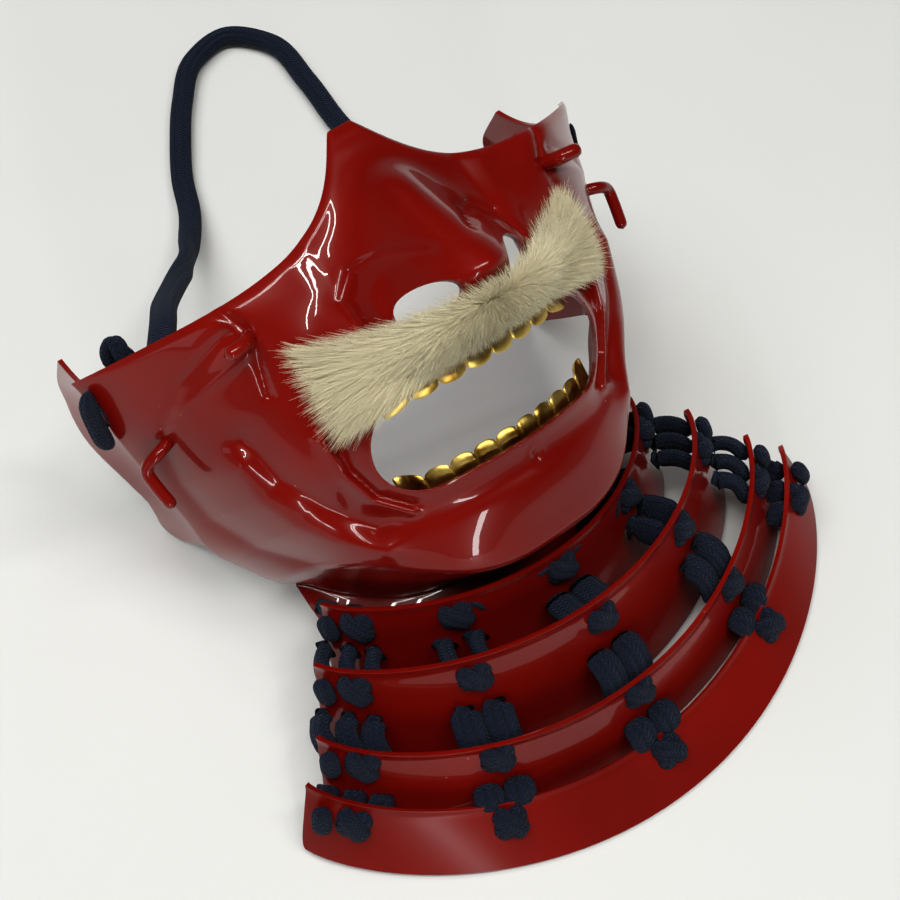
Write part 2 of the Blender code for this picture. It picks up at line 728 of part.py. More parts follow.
def plate_point(plate, around, down):
    """World point on a plate's outer face: down runs from its upper to its lower edge."""
    name, top, bottom = plate
    start, end = edge_point(top, around), edge_point(bottom, around)
    if name != "neck_plate":
        return start.lerp(end, down)
    seat = face_to_world(*throat_point(around)) - Vector((0.0, 0.0, NECK_DROP))
    start.z = seat.z
    if down < NECK_SEAT_SHARE:
        return start.lerp(seat, down / NECK_SEAT_SHARE)
    return seat.lerp(end, (down - NECK_SEAT_SHARE) / (1 - NECK_SEAT_SHARE))


def plate_normal(plate, around, down):
    """Outward normal of a plate."""
    step = 0.01
    side = min(max(around, step - 1), 1 - step)
    across = plate_point(plate, side + step, down) - plate_point(plate, side - step, down)
    below = plate_point(plate, side, down + step) - plate_point(plate, side, down - step)
    return below.cross(across).normalized()


def build_plate(index, cutters, material, collection):
    """One curved plate with rounded corners and its lacing holes."""
    plate = PLATE_EDGES[index]
    columns, rows = 18, 3
    grid = []
    for r in range(rows + 1):
        down = r / rows
        corner = CORNER_SHARE * (1 if down in (0.0, 1.0) else 0)
        reach = 1 - corner
        grid.append([plate_point(plate, reach * (2 * c / columns - 1), down) for c in range(columns + 1)])
    item = add_object(plate[0], shell_mesh(plate[0], grid, LAME_WALL), collection, material)
    rows_of_holes = []
    if index > 0:
        rows_of_holes.append(("front", KNOT_DOWN))
    if plate is not PLATE_EDGES[-1]:
        rows_of_holes.append(("hang", HANG_DOWN))
    for row, down in rows_of_holes:
        for number, around in enumerate(LACE_COLUMNS):
            spot, normal = plate_point(plate, around, down), plate_normal(plate, around, down)
            name = f"{plate[0]}_{row}_hole_{number}"
            reach = normal * LAME_WALL * 3
            cut(item, rod_cutter(name, spot - reach, spot + reach, LACE_HOLE, 6, cutters))
    return item


def lace_ring(centre, across, other, width, thickness, sides=6):
    """Oval ring of points about a centre."""
    return [
        centre + across * math.cos(a) * width / 2 + other * math.sin(a) * thickness / 2
        for a in (2 * math.pi * k / sides for k in range(sides))
    ]


def build_lacing(upper, number, material, collection):
    """One lacing: a stub behind the upper plate, a hanging pair, and a knot on the lower plate."""
    high, low = PLATE_EDGES[upper], PLATE_EDGES[upper + 1]
    around = LACE_COLUMNS[number]
    edge = number in (0, len(LACE_COLUMNS) - 1)
    pair_width = PAIR_WIDTH * (EDGE_WIDENING if edge else 1.0)
    knot_width = KNOT_WIDTH * (EDGE_WIDENING if edge else 1.0)
    stem = LACE_HOLE - 2 * CLEARANCE
    first, out = plate_point(high, around, HANG_DOWN), plate_normal(high, around, HANG_DOWN)
    last, away = plate_point(low, around, KNOT_DOWN), plate_normal(low, around, KNOT_DOWN)
    step = 0.02
    across_high = (plate_point(high, around + step, HANG_DOWN) - first).normalized()
    across_low = (plate_point(low, around + step, KNOT_DOWN) - last).normalized()
    down_high = out.cross(across_high).normalized()
    down_low = away.cross(across_low).normalized()
    bow = LACE_BOW * pair_width
    lift = CLEARANCE + LACE_THICK / 2
    back = LAME_WALL + CLEARANCE
    start = first + out * lift + (last - first) * LACE_LEAD
    end = last - away * (back + LACE_THICK / 2 + bow) - (last - first) * LACE_TAIL
    travel = (end - start).normalized()
    across_mid = (across_high + across_low).normalized()
    face_mid = travel.cross(across_mid).normalized()
    rings = [
        lace_ring(first - out * (back + 0.5 * LACE_THICK), across_high, down_high, 2 * stem, 2 * stem),
        lace_ring(first - out * (back + CLEARANCE), across_high, down_high, 1.5 * stem, 1.5 * stem),
        lace_ring(first - out * back * 0.98, across_high, down_high, stem, stem),
        lace_ring(first + out * CLEARANCE, across_high, down_high, stem, stem),
        lace_ring(start, across_mid, face_mid, pair_width, LACE_THICK),
        lace_ring(start.lerp(end, 0.5), across_mid, face_mid, pair_width, LACE_THICK),
        lace_ring(end, across_mid, face_mid, pair_width * LACE_TAPER, LACE_THICK),
        lace_ring(last - away * back, across_low, down_low, stem, stem),
        lace_ring(last + away * CLEARANCE, across_low, down_low, stem, stem),
        lace_ring(last + away * (CLEARANCE + 0.25 * KNOT_THICK), across_low, down_low,
                  knot_width, KNOT_HEIGHT),
        lace_ring(last + away * (CLEARANCE + 0.75 * KNOT_THICK), across_low, down_low,
                  knot_width, KNOT_HEIGHT),
        lace_ring(last + away * KNOT_THICK, across_low, down_low,
                  knot_width * KNOT_CROWN, KNOT_HEIGHT * KNOT_CROWN),
    ]
    name = f"lacing_{upper + 1}_{number + 1}"
    return add_object(name, closed_loft(name, rings), collection, material)


def build_strap_end(side, tag, loop_rise, material, collection):
    """Knotted end of the strap: a lump inside the cheek, through the slot, a loop outside."""
    spot, normal, along, other = slot_frame(side)
    wide, high = STRAP_SLOT_WIDTH - 2 * CLEARANCE, STRAP_SLOT_HEIGHT - 2 * CLEARANCE
    inside = SHELL_WALL + CLEARANCE
    outside = 2 * CLEARANCE
    crown = STRAP_LUMP_WIDTH / 2
    stations = (
        (-inside - STRAP_LUMP_DEPTH * 1.4, crown, STRAP_LUMP_HEIGHT * 0.7),
        (-inside - STRAP_LUMP_DEPTH, STRAP_LUMP_WIDTH, STRAP_LUMP_HEIGHT),
        (-inside - STRAP_LUMP_DEPTH * 0.4, STRAP_LUMP_WIDTH, STRAP_LUMP_HEIGHT),
        (-inside - CLEARANCE, wide, high),
        (outside, wide, high),
        (outside + 0.30 * loop_rise, STRAP_LOOP_LENGTH, STRAP_WIDTH),
        (outside + 0.75 * loop_rise, STRAP_LOOP_LENGTH, STRAP_WIDTH),
        (outside + loop_rise, STRAP_LOOP_LENGTH * 0.65, STRAP_WIDTH * 0.65),
    )
    rings = [
        lace_ring(spot + normal * depth, other, along, width, height, 8)
        for depth, width, height in stations
    ]
    name = "strap_end_" + tag
    return add_object(name, closed_loft(name, rings), collection, material)


def seat_on_origin(items, followers):
    """Move everything so that the origin is under the middle of the given objects' box."""
    bpy.context.view_layer.update()
    graph = bpy.context.evaluated_depsgraph_get()
    corners = []
    for item in items:
        evaluated = item.evaluated_get(graph)
        corners += [evaluated.matrix_world @ v.co for v in evaluated.data.vertices]
    low = Vector([min(c[axis] for c in corners) for axis in range(3)])
    high = Vector([max(c[axis] for c in corners) for axis in range(3)])
    shift = Matrix.Translation((-(low.x + high.x) / 2, -(low.y + high.y) / 2, -low.z))
    for item in items + followers:
        item.matrix_world = shift @ item.matrix_world


def main():
    """Build the whole face guard."""
    for item in list(bpy.data.objects):
        bpy.data.objects.remove(item)
    scene = bpy.context.scene
    collection = bpy.data.collections.new("samurai_face_guard")
    cutters = bpy.data.collections.new("cutters")
    scene.collection.children.link(collection)
    scene.collection.children.link(cutters)
    lacquer = new_material("red_lacquer", RED, 0.12, 0.0)
    satin = new_material("red_satin_lacquer", RED, 0.3, 0.0)
    cord = new_material("navy_cord", NAVY, 0.9, 0.0)
    fur = new_material("cream_fur", FUR, 0.95, 0.0)
    gold = new_material("gold_leaf", GOLD, 0.3, 1.0)

    solids, followers = [], []
    shell = build_shell(collection, cutters, lacquer)
    solids.append(shell)
    finder = surface_finder(shell)
    for side, tag in ((-1, "l"), (1, "r")):
        solids.append(build_wing(side, tag, collection, lacquer))
        solids.append(build_wire("cheek_peg_" + tag, side, (PEG_HOLE_OFFSET, PEG_HOLE_LEVEL),
                                 PEG_WIRE, PEG_STEPS, collection, lacquer))
        hook_place = (FACE_HALF_WIDTH - HOOK_INSET, HOOK_LEVEL)
        solids.append(build_wire("cheek_hook_" + tag, side, hook_place,
                                 HOOK_WIRE, HOOK_STEPS, collection, lacquer))
        followers.append(build_strap_end(side, tag, STRAP_LOOP_RISE[tag], cord, collection))
    solids.append(build_teeth("upper_teeth", finder, UPPER_TEETH, True, UPPER_END_GAP, gold, collection))
    solids.append(build_teeth("lower_teeth", finder, LOWER_TEETH, False, LOWER_END_GAP, gold, collection))
    solids.append(build_moustache(fur, collection))
    for index in range(len(PLATE_EDGES)):
        solids.append(build_plate(index, cutters, satin if index == 4 else lacquer, collection))
    for upper in range(len(PLATE_EDGES) - 1):
        for number in range(len(LACE_COLUMNS)):
            solids.append(build_lacing(upper, number, cord, collection))
    route = smooth_route(STRAP_ROUTE, STRAP_WIDTH * 2.5)
    followers.append(
        add_object("strap", tube_mesh("strap", route, STRAP_WIDTH, 2), collection, cord))
    seat_on_origin(solids, followers + list(cutters.objects))


main()
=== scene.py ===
"""Looks of the samurai face guard: glossy red lacquer, knitted navy cord, fur and gold.

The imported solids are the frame.  The mask, its plates and its cords are made again here at full
smoothness from the same named sizes, and each stands for the solid it replaces.
"""

import logging
import math
from dataclasses import dataclass, field
from enum import Enum
from typing import Callable, Optional, Sequence

import bmesh
import bpy
import numpy as np
from mathutils import Matrix, Vector


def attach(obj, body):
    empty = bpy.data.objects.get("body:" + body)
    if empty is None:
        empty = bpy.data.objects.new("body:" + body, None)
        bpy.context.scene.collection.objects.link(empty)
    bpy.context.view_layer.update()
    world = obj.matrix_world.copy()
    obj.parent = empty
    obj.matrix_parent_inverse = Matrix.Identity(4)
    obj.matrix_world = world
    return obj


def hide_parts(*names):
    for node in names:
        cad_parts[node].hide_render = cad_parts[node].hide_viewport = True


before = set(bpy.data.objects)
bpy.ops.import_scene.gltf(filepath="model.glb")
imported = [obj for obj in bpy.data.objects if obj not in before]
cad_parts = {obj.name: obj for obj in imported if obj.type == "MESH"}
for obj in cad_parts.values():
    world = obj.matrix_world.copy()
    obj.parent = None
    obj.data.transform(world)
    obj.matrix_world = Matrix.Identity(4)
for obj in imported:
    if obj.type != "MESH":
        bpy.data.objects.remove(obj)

log = logging.getLogger("face_guard")
Grid = np.ndarray

# Moves the points of the tables and of the strap's route into the row frame
ROW_SHIFT = np.array([0.0, 0.066131, -0.0003])

# Face sections, top to bottom: level, half width, back, rear edge, front and squareness
FACE_SECTIONS = (
    (1.000, 1.089, 0.000, 0.286, 0.798, 2.00),
    (0.900, 1.089, 0.000, 0.286, 0.835, 2.00),
    (0.800, 1.089, 0.000, 0.286, 0.850, 2.00),
    (0.727, 1.065, -0.060, 0.262, 0.875, 2.00),
    (0.620, 1.036, -0.119, 0.232, 0.929, 2.00),
    (0.490, 0.994, -0.167, 0.179, 1.000, 1.85),
    (0.390, 0.952, -0.179, 0.125, 0.985, 1.78),
    (0.300, 0.911, -0.179, 0.060, 0.940, 1.75),
    (0.213, 0.815, -0.143, 0.036, 0.905, 1.90),
    (0.165, 0.762, -0.119, 0.054, 0.893, 2.05),
    (0.110, 0.690, -0.036, 0.071, 0.875, 2.20),
    (0.045, 0.631, 0.060, 0.143, 0.845, 2.30),
    (-0.030, 0.583, 0.143, 0.214, 0.800, 2.30),
)
# Jaw ridge: share round the face and level in face heights
JAW_RIDGE = (
    (0.00, 0.000), (0.15, 0.004), (0.30, 0.030), (0.45, 0.085),
    (0.60, 0.150), (0.75, 0.178), (0.88, 0.165), (1.00, 0.135),
)
# Throat edge: share round the face, then x, f and level in half widths, depths and heights
THROAT_EDGE = (
    (0.00, 0.000, 0.350, -0.062), (0.25, 0.190, 0.330, -0.055), (0.50, 0.400, 0.240, -0.025),
    (0.75, 0.560, 0.120, 0.045), (0.90, 0.640, 0.070, 0.100), (1.00, 0.672, 0.050, 0.118),
)
# Nose: level over its tip in nose lengths, then rise and half width as shares
NOSE_PROFILE = (
    (1.30, 0.00, 0.30), (1.05, 0.06, 0.34), (0.85, 0.36, 0.44), (0.60, 0.58, 0.58),
    (0.30, 0.82, 0.74), (0.08, 0.98, 0.92), (-0.04, 1.00, 1.00), (-0.16, 0.86, 1.06),
    (-0.30, 0.52, 1.04), (-0.42, 0.22, 0.96), (-0.60, 0.04, 0.90), (-0.90, 0.00, 0.90),
)
# Low swellings: x, u, half width, half height and rise, as in the solids
SWELLINGS = (
    (0.620, 0.230, 0.17, 0.110, 0.065),
    (0.640, -0.170, 0.15, 0.120, 0.060),
    (0.500, -0.020, 0.06, 0.100, -0.022),
    (0.000, -0.390, 0.22, 0.060, 0.020),
)
# Pressed folds and grooves of each cheek: height and width in metres, then their run in x and u
FOLDS = (
    (0.0048, 0.0056,
     ((0.0640, -0.0065), (0.0630, -0.0166), (0.0585, -0.0273), (0.0520, -0.0360), (0.0435, -0.0440))),
    (-0.0034, 0.0028,
     ((0.0748, 0.0054), (0.0742, -0.0054), (0.0712, -0.0187), (0.0649, -0.0318), (0.0551, -0.0429))),
    (-0.0036, 0.0036, ((0.0598, 0.0003), (0.0564, -0.0141), (0.0496, -0.0267), (0.0412, -0.0383))),
    (0.0024, 0.0018, ((0.0457, -0.0083), (0.0448, -0.0195), (0.0403, -0.0308), (0.0335, -0.0378))),
    (-0.0020, 0.0012, ((0.0425, -0.0103), (0.0425, -0.0193), (0.0386, -0.0293), (0.0320, -0.0362))),
    (-0.0015, 0.0015,
     ((0.0530, 0.0270), (0.0562, 0.0261), (0.0662, 0.0208), (0.0729, 0.0129), (0.0748, 0.0074))),
    (0.0010, 0.0018, ((0.0500, 0.0205), (0.0595, 0.0180), (0.0688, 0.0149))),
    (-0.0013, 0.0012, ((0.0530, 0.0360), (0.0480, 0.0254), (0.0496, 0.0148), (0.0508, 0.0081))),
    (0.0007, 0.0040, ((0.031, 0.036), (0.030, 0.026), (0.031, 0.012))),
    (-0.0006, 0.0026, ((0.024, 0.038), (0.0245, 0.028), (0.026, 0.020))),
    (-0.0022, 0.0013,
     ((0.0262, 0.0110), (0.0248, 0.0200), (0.0190, 0.0258), (0.0120, 0.0266), (0.0060, 0.0230))),
    (0.0018, 0.0022, ((0.0225, 0.0110), (0.0210, 0.0185), (0.0165, 0.0222), (0.0110, 0.0222))),
)
# Outline of a leaf, top to bottom: share of its length, reach and distance from the middle
WING_EDGE = (
    (0.00, 0.36, 0.964), (0.08, 0.72, 0.967), (0.18, 0.84, 0.969), (0.28, 0.98, 0.967),
    (0.38, 1.05, 0.960), (0.48, 1.03, 0.946), (0.58, 0.94, 0.930), (0.66, 0.89, 0.916),
    (0.74, 0.88, 0.900), (0.82, 1.00, 0.887), (0.91, 1.150, 0.871), (0.97, 1.04, 0.856),
    (1.00, 0.78, 0.842),
)
# Collar plates: half width, end y, middle y, end z, middle z of the top and of the bottom edge
PLATE_EDGES = (
    ("neck_plate", (0.477, 0.272, 0.477, 0.300, 0.430),
     (0.569, 0.363, 0.562, 0.260, 0.380)),
    ("lame_1", (0.589, 0.405, 0.613, 0.700, 1.000),
     (0.650, 0.483, 0.671, 0.100, 0.260)),
    ("lame_2", (0.711, 0.486, 0.716, 0.660, 0.940),
     (0.787, 0.568, 0.792, 0.070, 0.130)),
    ("lame_3", (0.822, 0.583, 0.831, 0.560, 0.530),
     (0.888, 0.655, 0.885, 0.050, 0.034)),
    ("lame_4", (0.914, 0.628, 0.900, 0.450, 0.220),
     (1.000, 0.671, 1.000, 0.060, 0.032)),
)
LACE_COLUMNS = (-0.78, -0.36, 0.0, 0.36, 0.78)
# Fat part of a hanging cord: share of the way down, and rise in thicknesses
HUMP_PATH = ((0.01, 0.42), (0.14, 0.95), (0.34, 0.92), (0.66, 0.55))
# Route of the strap, from the left cheek round the table to the right cheek, metres
STRAP_ROUTE = (
    (-0.0677, -0.0068, 0.0860), (-0.0647, -0.0051, 0.0850), (-0.0590, 0.0030, 0.0815),
    (-0.0530, 0.0125, 0.0770), (-0.0460, 0.0260, 0.0660), (-0.0380, 0.0400, 0.0515),
    (-0.0290, 0.0530, 0.0390), (-0.0180, 0.0680, 0.0255), (-0.0070, 0.0850, 0.0140),
    (0.0030, 0.1020, 0.0072), (0.0105, 0.1190, 0.0047), (0.0200, 0.1350, 0.0047),
    (0.0315, 0.1515, 0.0047), (0.0470, 0.1675, 0.0047), (0.0640, 0.1712, 0.0047),
    (0.0755, 0.1580, 0.0047), (0.0750, 0.1320, 0.0047), (0.0715, 0.1060, 0.0050),
    (0.0700, 0.0860, 0.0085), (0.0685, 0.0650, 0.0170), (0.0670, 0.0440, 0.0300),
    (0.0640, 0.0240, 0.0460), (0.0605, 0.0080, 0.0640), (0.0585, 0.0010, 0.0765),
    (0.0608, -0.0028, 0.0832), (0.0647, -0.0051, 0.0850), (0.0677, -0.0068, 0.0860),
)


class Side(Enum):
    """The two cheeks, as the viewer sees them."""

    LEFT = -1
    RIGHT = 1

    @property
    def tag(self) -> str:
        """Letter used in the names of this side's nodes."""
        return "l" if self is Side.LEFT else "r"


class Curve:
    """Smooth curve through a short table, with cubic spans, read for whole arrays."""

    def __init__(self, keys: Sequence[float], values: Sequence[float]) -> None:
        """Store the knots in rising order.

        Args:
            keys: Places of the knots.
            values: Value at each knot.
        """
        order = np.argsort(keys)
        self.keys = np.asarray(keys, float)[order]
        self.values = np.asarray(values, float)[order]
        self.slopes = np.gradient(self.values, self.keys)

    def __call__(self, at: Grid) -> Grid:
        """Read the curve.

        Args:
            at: Places to read, any shape.

        Returns:
            The values there.
        """
        at = np.clip(np.asarray(at, float), self.keys[0], self.keys[-1])
        k = np.clip(np.searchsorted(self.keys, at, side="right") - 1, 0, len(self.keys) - 2)
        span = self.keys[k + 1] - self.keys[k]
        t = (at - self.keys[k]) / span
        return (
            (2 * t**3 - 3 * t**2 + 1) * self.values[k]
            + (t**3 - 2 * t**2 + t) * span * self.slopes[k]
            + (-2 * t**3 + 3 * t**2) * self.values[k + 1]
            + (t**3 - t**2) * span * self.slopes[k + 1]
        )


def column(table: Sequence[Sequence[float]], index: int) -> Curve:
    """Smooth curve of one column of a table whose first column is the key."""
    return Curve([row[0] for row in table], [row[index] for row in table])


def unit(vectors: Grid) -> Grid:
    """Vectors of length one along the last axis."""
    return vectors / np.maximum(np.linalg.norm(vectors, axis=-1, keepdims=True), 1e-12)


def smooth_path(points: Sequence[Sequence[float]], spacing: float) -> Grid:
    """Points at even spacing on a smooth curve through given points.

    Args:
        points: The route's points.
        spacing: Distance between the returned points, in metres.

    Returns:
        An array of points, one a row.
    """
    knots = np.array(points, float)
    keys = np.concatenate([[0.0], np.cumsum(np.linalg.norm(np.diff(knots, axis=0), axis=1))])
    at = np.linspace(0.0, keys[-1], max(int(round(keys[-1] / spacing)), 2) + 1)
    return np.stack([Curve(keys, knots[:, axis])(at) for axis in range(3)], axis=-1)


def bump(distance: Grid, height: float, centre: float, width: float) -> Grid:
    """Smooth ring of a height and width, at a distance from a line or a point."""
    return height * np.exp(-(((distance - centre) / width) ** 2))


@dataclass(frozen=True)
class FaceForm:
    """Form of the mask in its own face frame: x right, f out of the face, u up the face."""

    tilt: float = math.radians(39.5)
    forward: float = -0.0082
    lift: float = 0.0492
    half_width: float = 0.084
    depth: float = 0.084
    height: float = 0.1245
    chin_level: float = -0.0655
    brow_level: float = 0.0335
    bridge_rise: float = 0.0255
    bridge_spread: float = 0.0140
    bridge_top_half: float = 0.0035
    bridge_power: float = 1.15
    nose_length: float = 0.031
    nose_tip_level: float = 0.0145
    nose_half_width: float = 0.0165
    mouth_half_width: float = 0.0375
    mouth_top: float = -0.0065
    mouth_bottom: float = -0.0345
    lip_height: float = 0.0022
    lip_width: float = 0.0035
    fold_power: float = 1.5
    lip_groove: tuple = (0.0006, 0.0078, 0.0022)
    dimple_place: tuple = (0.0010, -0.0405)
    dimple_pit: tuple = (0.0007, 0.0, 0.0011)
    dimple_ring: tuple = (0.0003, 0.0024, 0.0008)
    wall: float = 0.0015

    def to_row(self, x: Grid, f: Grid, u: Grid) -> Grid:
        """Row-frame points of face-frame coordinates."""
        cos, sin = math.cos(self.tilt), math.sin(self.tilt)
        x, f, u = np.broadcast_arrays(x, f, u)
        points = np.stack([x, u * cos - f * sin + self.forward, u * sin + f * cos + self.lift], -1)
        return points + ROW_SHIFT

    def way(self, x: float, f: float, u: float) -> Grid:
        """Row-frame direction of a face-frame direction."""
        return self.to_row(x, f, u) - self.to_row(0.0, 0.0, 0.0)

    def brow_edge(self, x: Grid) -> Grid:
        """Level of the upper edge over x."""
        reach = np.maximum(np.abs(x) - self.bridge_top_half, 0.0) / self.bridge_spread
        return self.brow_level + self.bridge_rise * np.exp(-(reach**self.bridge_power))

    @property
    def mouth_middle(self) -> float:
        """Level of the middle of the mouth opening."""
        return (self.mouth_top + self.mouth_bottom) / 2

    @property
    def mouth_radius(self) -> float:
        """Radius of the round ends of the mouth opening."""
        return (self.mouth_top - self.mouth_bottom) / 2

    def mouth_distance(self, x: Grid, u: Grid) -> Grid:
        """Signed distance from the outline of the mouth opening."""
        across = np.maximum(np.abs(x) - (self.mouth_half_width - self.mouth_radius), 0.0)
        return np.hypot(across, u - self.mouth_middle) - self.mouth_radius

    def mouth_rim(self, x: Grid, top: bool) -> Grid:
        """Level of the mouth opening's upper or lower edge over x."""
        past = np.maximum(np.abs(x) - (self.mouth_half_width - self.mouth_radius), 0.0)
        rise = np.sqrt(np.maximum(self.mouth_radius**2 - past**2, 0.0))
        return self.mouth_middle + rise if top else self.mouth_middle - rise

    def nose_rise(self, x: Grid, u: Grid) -> Grid:
        """Height of the nose over the face."""
        level = (u - self.nose_tip_level) / self.nose_length
        inside = (level <= NOSE_PROFILE[0][0]) & (level >= NOSE_PROFILE[-1][0])
        rise = self.nose_length * np.maximum(column(NOSE_PROFILE, 1)(level), 0.0)
        half = self.nose_half_width * column(NOSE_PROFILE, 2)(level)
        return np.where(inside, rise * np.exp(-0.693 * (np.abs(x) / half) ** 2.1), 0.0)

    def relief(self, x: Grid, u: Grid) -> Grid:
        """Nose, cheek swellings and the bead of the lips, as in the solid."""
        rise = self.nose_rise(x, u)
        for centre_x, centre_u, half_x, half_u, height in SWELLINGS:
            across = (np.abs(x) - centre_x * self.half_width) / (half_x * self.half_width)
            along = (u - centre_u * self.height) / (half_u * self.height)
            rise = rise + height * self.depth * np.exp(-(across**2) - along**2)
        bead = np.exp(-((self.mouth_distance(x, u) / self.lip_width) ** 2))
        return rise + self.lip_height * bead

    def fine_relief(self, x: Grid, u: Grid) -> Grid:
        """Pressed folds, the groove round the lips and the dimple of the chin."""
        rise = np.zeros(np.broadcast(x, u).shape)
        for height, width, run in FOLDS:
            distance = run_distance(np.abs(x), u, run)
            rise = rise + height * np.exp(-((distance / width) ** self.fold_power))
        from_dimple = np.hypot(x - self.dimple_place[0], u - self.dimple_place[1])
        rise = rise - bump(self.mouth_distance(x, u), *self.lip_groove)
        return rise - bump(from_dimple, *self.dimple_pit) + bump(from_dimple, *self.dimple_ring)

    def base(self, turn: Grid, u: Grid) -> tuple[Grid, Grid]:
        """Plain section point at a turn from -1 to 1 round the face and a level."""
        level = (u - self.chin_level) / self.height
        width = self.half_width * column(FACE_SECTIONS, 1)(level)
        back, edge, front = (self.depth * column(FACE_SECTIONS, k)(level) for k in (2, 3, 4))
        power = 2 / column(FACE_SECTIONS, 5)(level)
        end = np.arccos(np.maximum((edge - back) / (front - back), 0.0) ** (1 / power))
        angle = np.abs(turn) * end
        x = np.sign(turn) * width * np.sin(angle) ** power
        return x, back + (front - back) * np.maximum(np.cos(angle), 0.0) ** power

    def point(self, turn: Grid, u: Grid, fine: bool = False) -> tuple[Grid, Grid, Grid]:
        """Point of the outer face: x, f and u."""
        x, f = self.base(turn, u)
        f = f + self.relief(x, u)
        if fine:
            f = f + self.fine_relief(x, u)
        return x, f, u

    def over(self, x: Grid, u: Grid, fine: bool = False) -> Grid:
        """Forward place of the outer face over x, found by halving."""
        x, u = np.broadcast_arrays(np.asarray(x, float), np.asarray(u, float))
        low, high = np.zeros(x.shape), np.ones(x.shape)
        for _ in range(26):
            middle = (low + high) / 2
            short = self.base(middle, u)[0] < np.abs(x)
            low, high = np.where(short, middle, low), np.where(short, high, middle)
        rise = self.relief(x, u) + (self.fine_relief(x, u) if fine else 0.0)
        return self.base(low, u)[1] + rise

    def top_level(self, turn: Grid) -> Grid:
        """Level of the upper edge at a turn."""
        u = np.full(np.shape(turn), self.brow_level)
        for _ in range(14):
            u = self.brow_edge(self.base(turn, u)[0])
        return u

    def jaw_level(self, turn: Grid) -> Grid:
        """Level of the jaw ridge at a turn."""
        return self.chin_level + self.height * column(JAW_RIDGE, 1)(np.abs(turn))

    def throat(self, turn: Grid) -> tuple[Grid, Grid, Grid]:
        """Point of the throat edge under the jaw."""
        share = np.abs(turn)
        x = np.sign(turn) * self.half_width * column(THROAT_EDGE, 1)(share)
        f = self.depth * column(THROAT_EDGE, 2)(share)
        return x, f, self.chin_level + self.height * column(THROAT_EDGE, 3)(share)

    def frame_at(self, side: Side, x: float, u: float) -> tuple[Grid, Grid]:
        """Outer face point and outward normal on one cheek, in the row frame."""
        step = 0.0015
        places = np.array([[x, u], [x - step, u], [x, u + step]])
        rows = self.to_row(side.value * places[:, 0], self.over(places[:, 0], places[:, 1]), places[:, 1])
        normal = unit(np.cross(rows[1] - rows[0], rows[2] - rows[0]) * side.value)
        return rows[0], normal if normal[2] > 0 else -normal


def run_distance(x: Grid, u: Grid, run: Sequence[tuple[float, float]]) -> Grid:
    """Distance in the x and u plane from a run of straight pieces."""
    best = np.full(np.broadcast(x, u).shape, 1.0)
    for (ax, au), (bx, bu) in zip(run, run[1:]):
        dx, du = bx - ax, bu - au
        t = np.clip(((x - ax) * dx + (u - au) * du) / (dx * dx + du * du), 0.0, 1.0)
        best = np.minimum(best, np.hypot(x - ax - t * dx, u - au - t * du))
    return best


def map_grid(
    bm: bmesh.types.BMesh,
    columns: int,
    rows: int,
    place: Callable[[Grid, Grid], Grid],
    girth: float = 1.0,
    length: float = 1.0,
) -> list[bmesh.types.BMVert]:
    """Add a grid and bend it into a shape.

    Args:
        bm: The mesh that the grid is added to.
        columns: Faces across.
        rows: Faces down.
        place: Gives row-frame points from shares across and down, both 0 to 1.
        girth: Real width of the grid, for its UV map.
        length: Real length of the grid, for its UV map.

    Returns:
        The new vertices.
    """
    weave = bm.loops.layers.uv.verify()
    made = bmesh.ops.create_grid(bm, x_segments=columns, y_segments=rows, size=0.5)["verts"]
    flat = np.array([vert.co[:2] for vert in made]) + 0.5
    flat = np.round(flat * (columns, rows)) / (columns, rows)
    share = {vert: pair for vert, pair in zip(made, flat)}
    for face in {face for vert in made for face in vert.link_faces}:
        for loop in face.loops:
            across, down = share[loop.vert]
            loop[weave].uv = (across * girth, down * length)
    for vert, point in zip(made, place(flat[:, 0], flat[:, 1])):
        vert.co = point
    return made


def sweep(
    bm: bmesh.types.BMesh,
    path: Grid,
    outward: Grid,
    width: Grid,
    thick: Grid,
    sides: int = 12,
    squareness: float = 2.0,
) -> None:
    """Add a closed rounded bar along a path.

    Args:
        bm: The mesh that the bar is added to.
        path: Centre points, one a row.
        outward: Direction of the thickness at each point.
        width: Full width at each point.
        thick: Full thickness at each point.
        sides: Faces round the bar.
        squareness: 2 for an oval section, more for a squarer one.
    """
    rings = len(path)
    along = unit(np.gradient(path, axis=0))
    across = unit(np.cross(along, outward))
    out = unit(np.cross(across, along))
    length = float(np.sum(np.linalg.norm(np.diff(path, axis=0), axis=1)))
    power = 2.0 / squareness

    def place(u: Grid, v: Grid) -> Grid:
        """Points of the bar's skin."""
        k = np.round(v * (rings - 1)).astype(int)
        angle = 2 * np.pi * u
        cos, sin = np.cos(angle), np.sin(angle)
        cos = np.sign(cos) * np.abs(cos) ** power * width[k] / 2
        sin = np.sign(sin) * np.abs(sin) ** power * thick[k] / 2
        return path[k] + across[k] * cos[:, None] + out[k] * sin[:, None]

    girth = math.pi * float(np.max(width) + np.max(thick)) / 2
    made = map_grid(bm, sides, rings - 1, place, girth, length)
    bmesh.ops.remove_doubles(bm, verts=made, dist=1e-6)


def round_ends(count: int, reach: int) -> Grid:
    """Size of each ring of a bar whose ends are rounded off to a point."""
    k = np.arange(count)
    near = np.minimum(k, count - 1 - k) / reach
    return np.sqrt(np.clip(1 - (1 - np.clip(near, 0.0, 1.0)) ** 2, 0.0, 1.0))


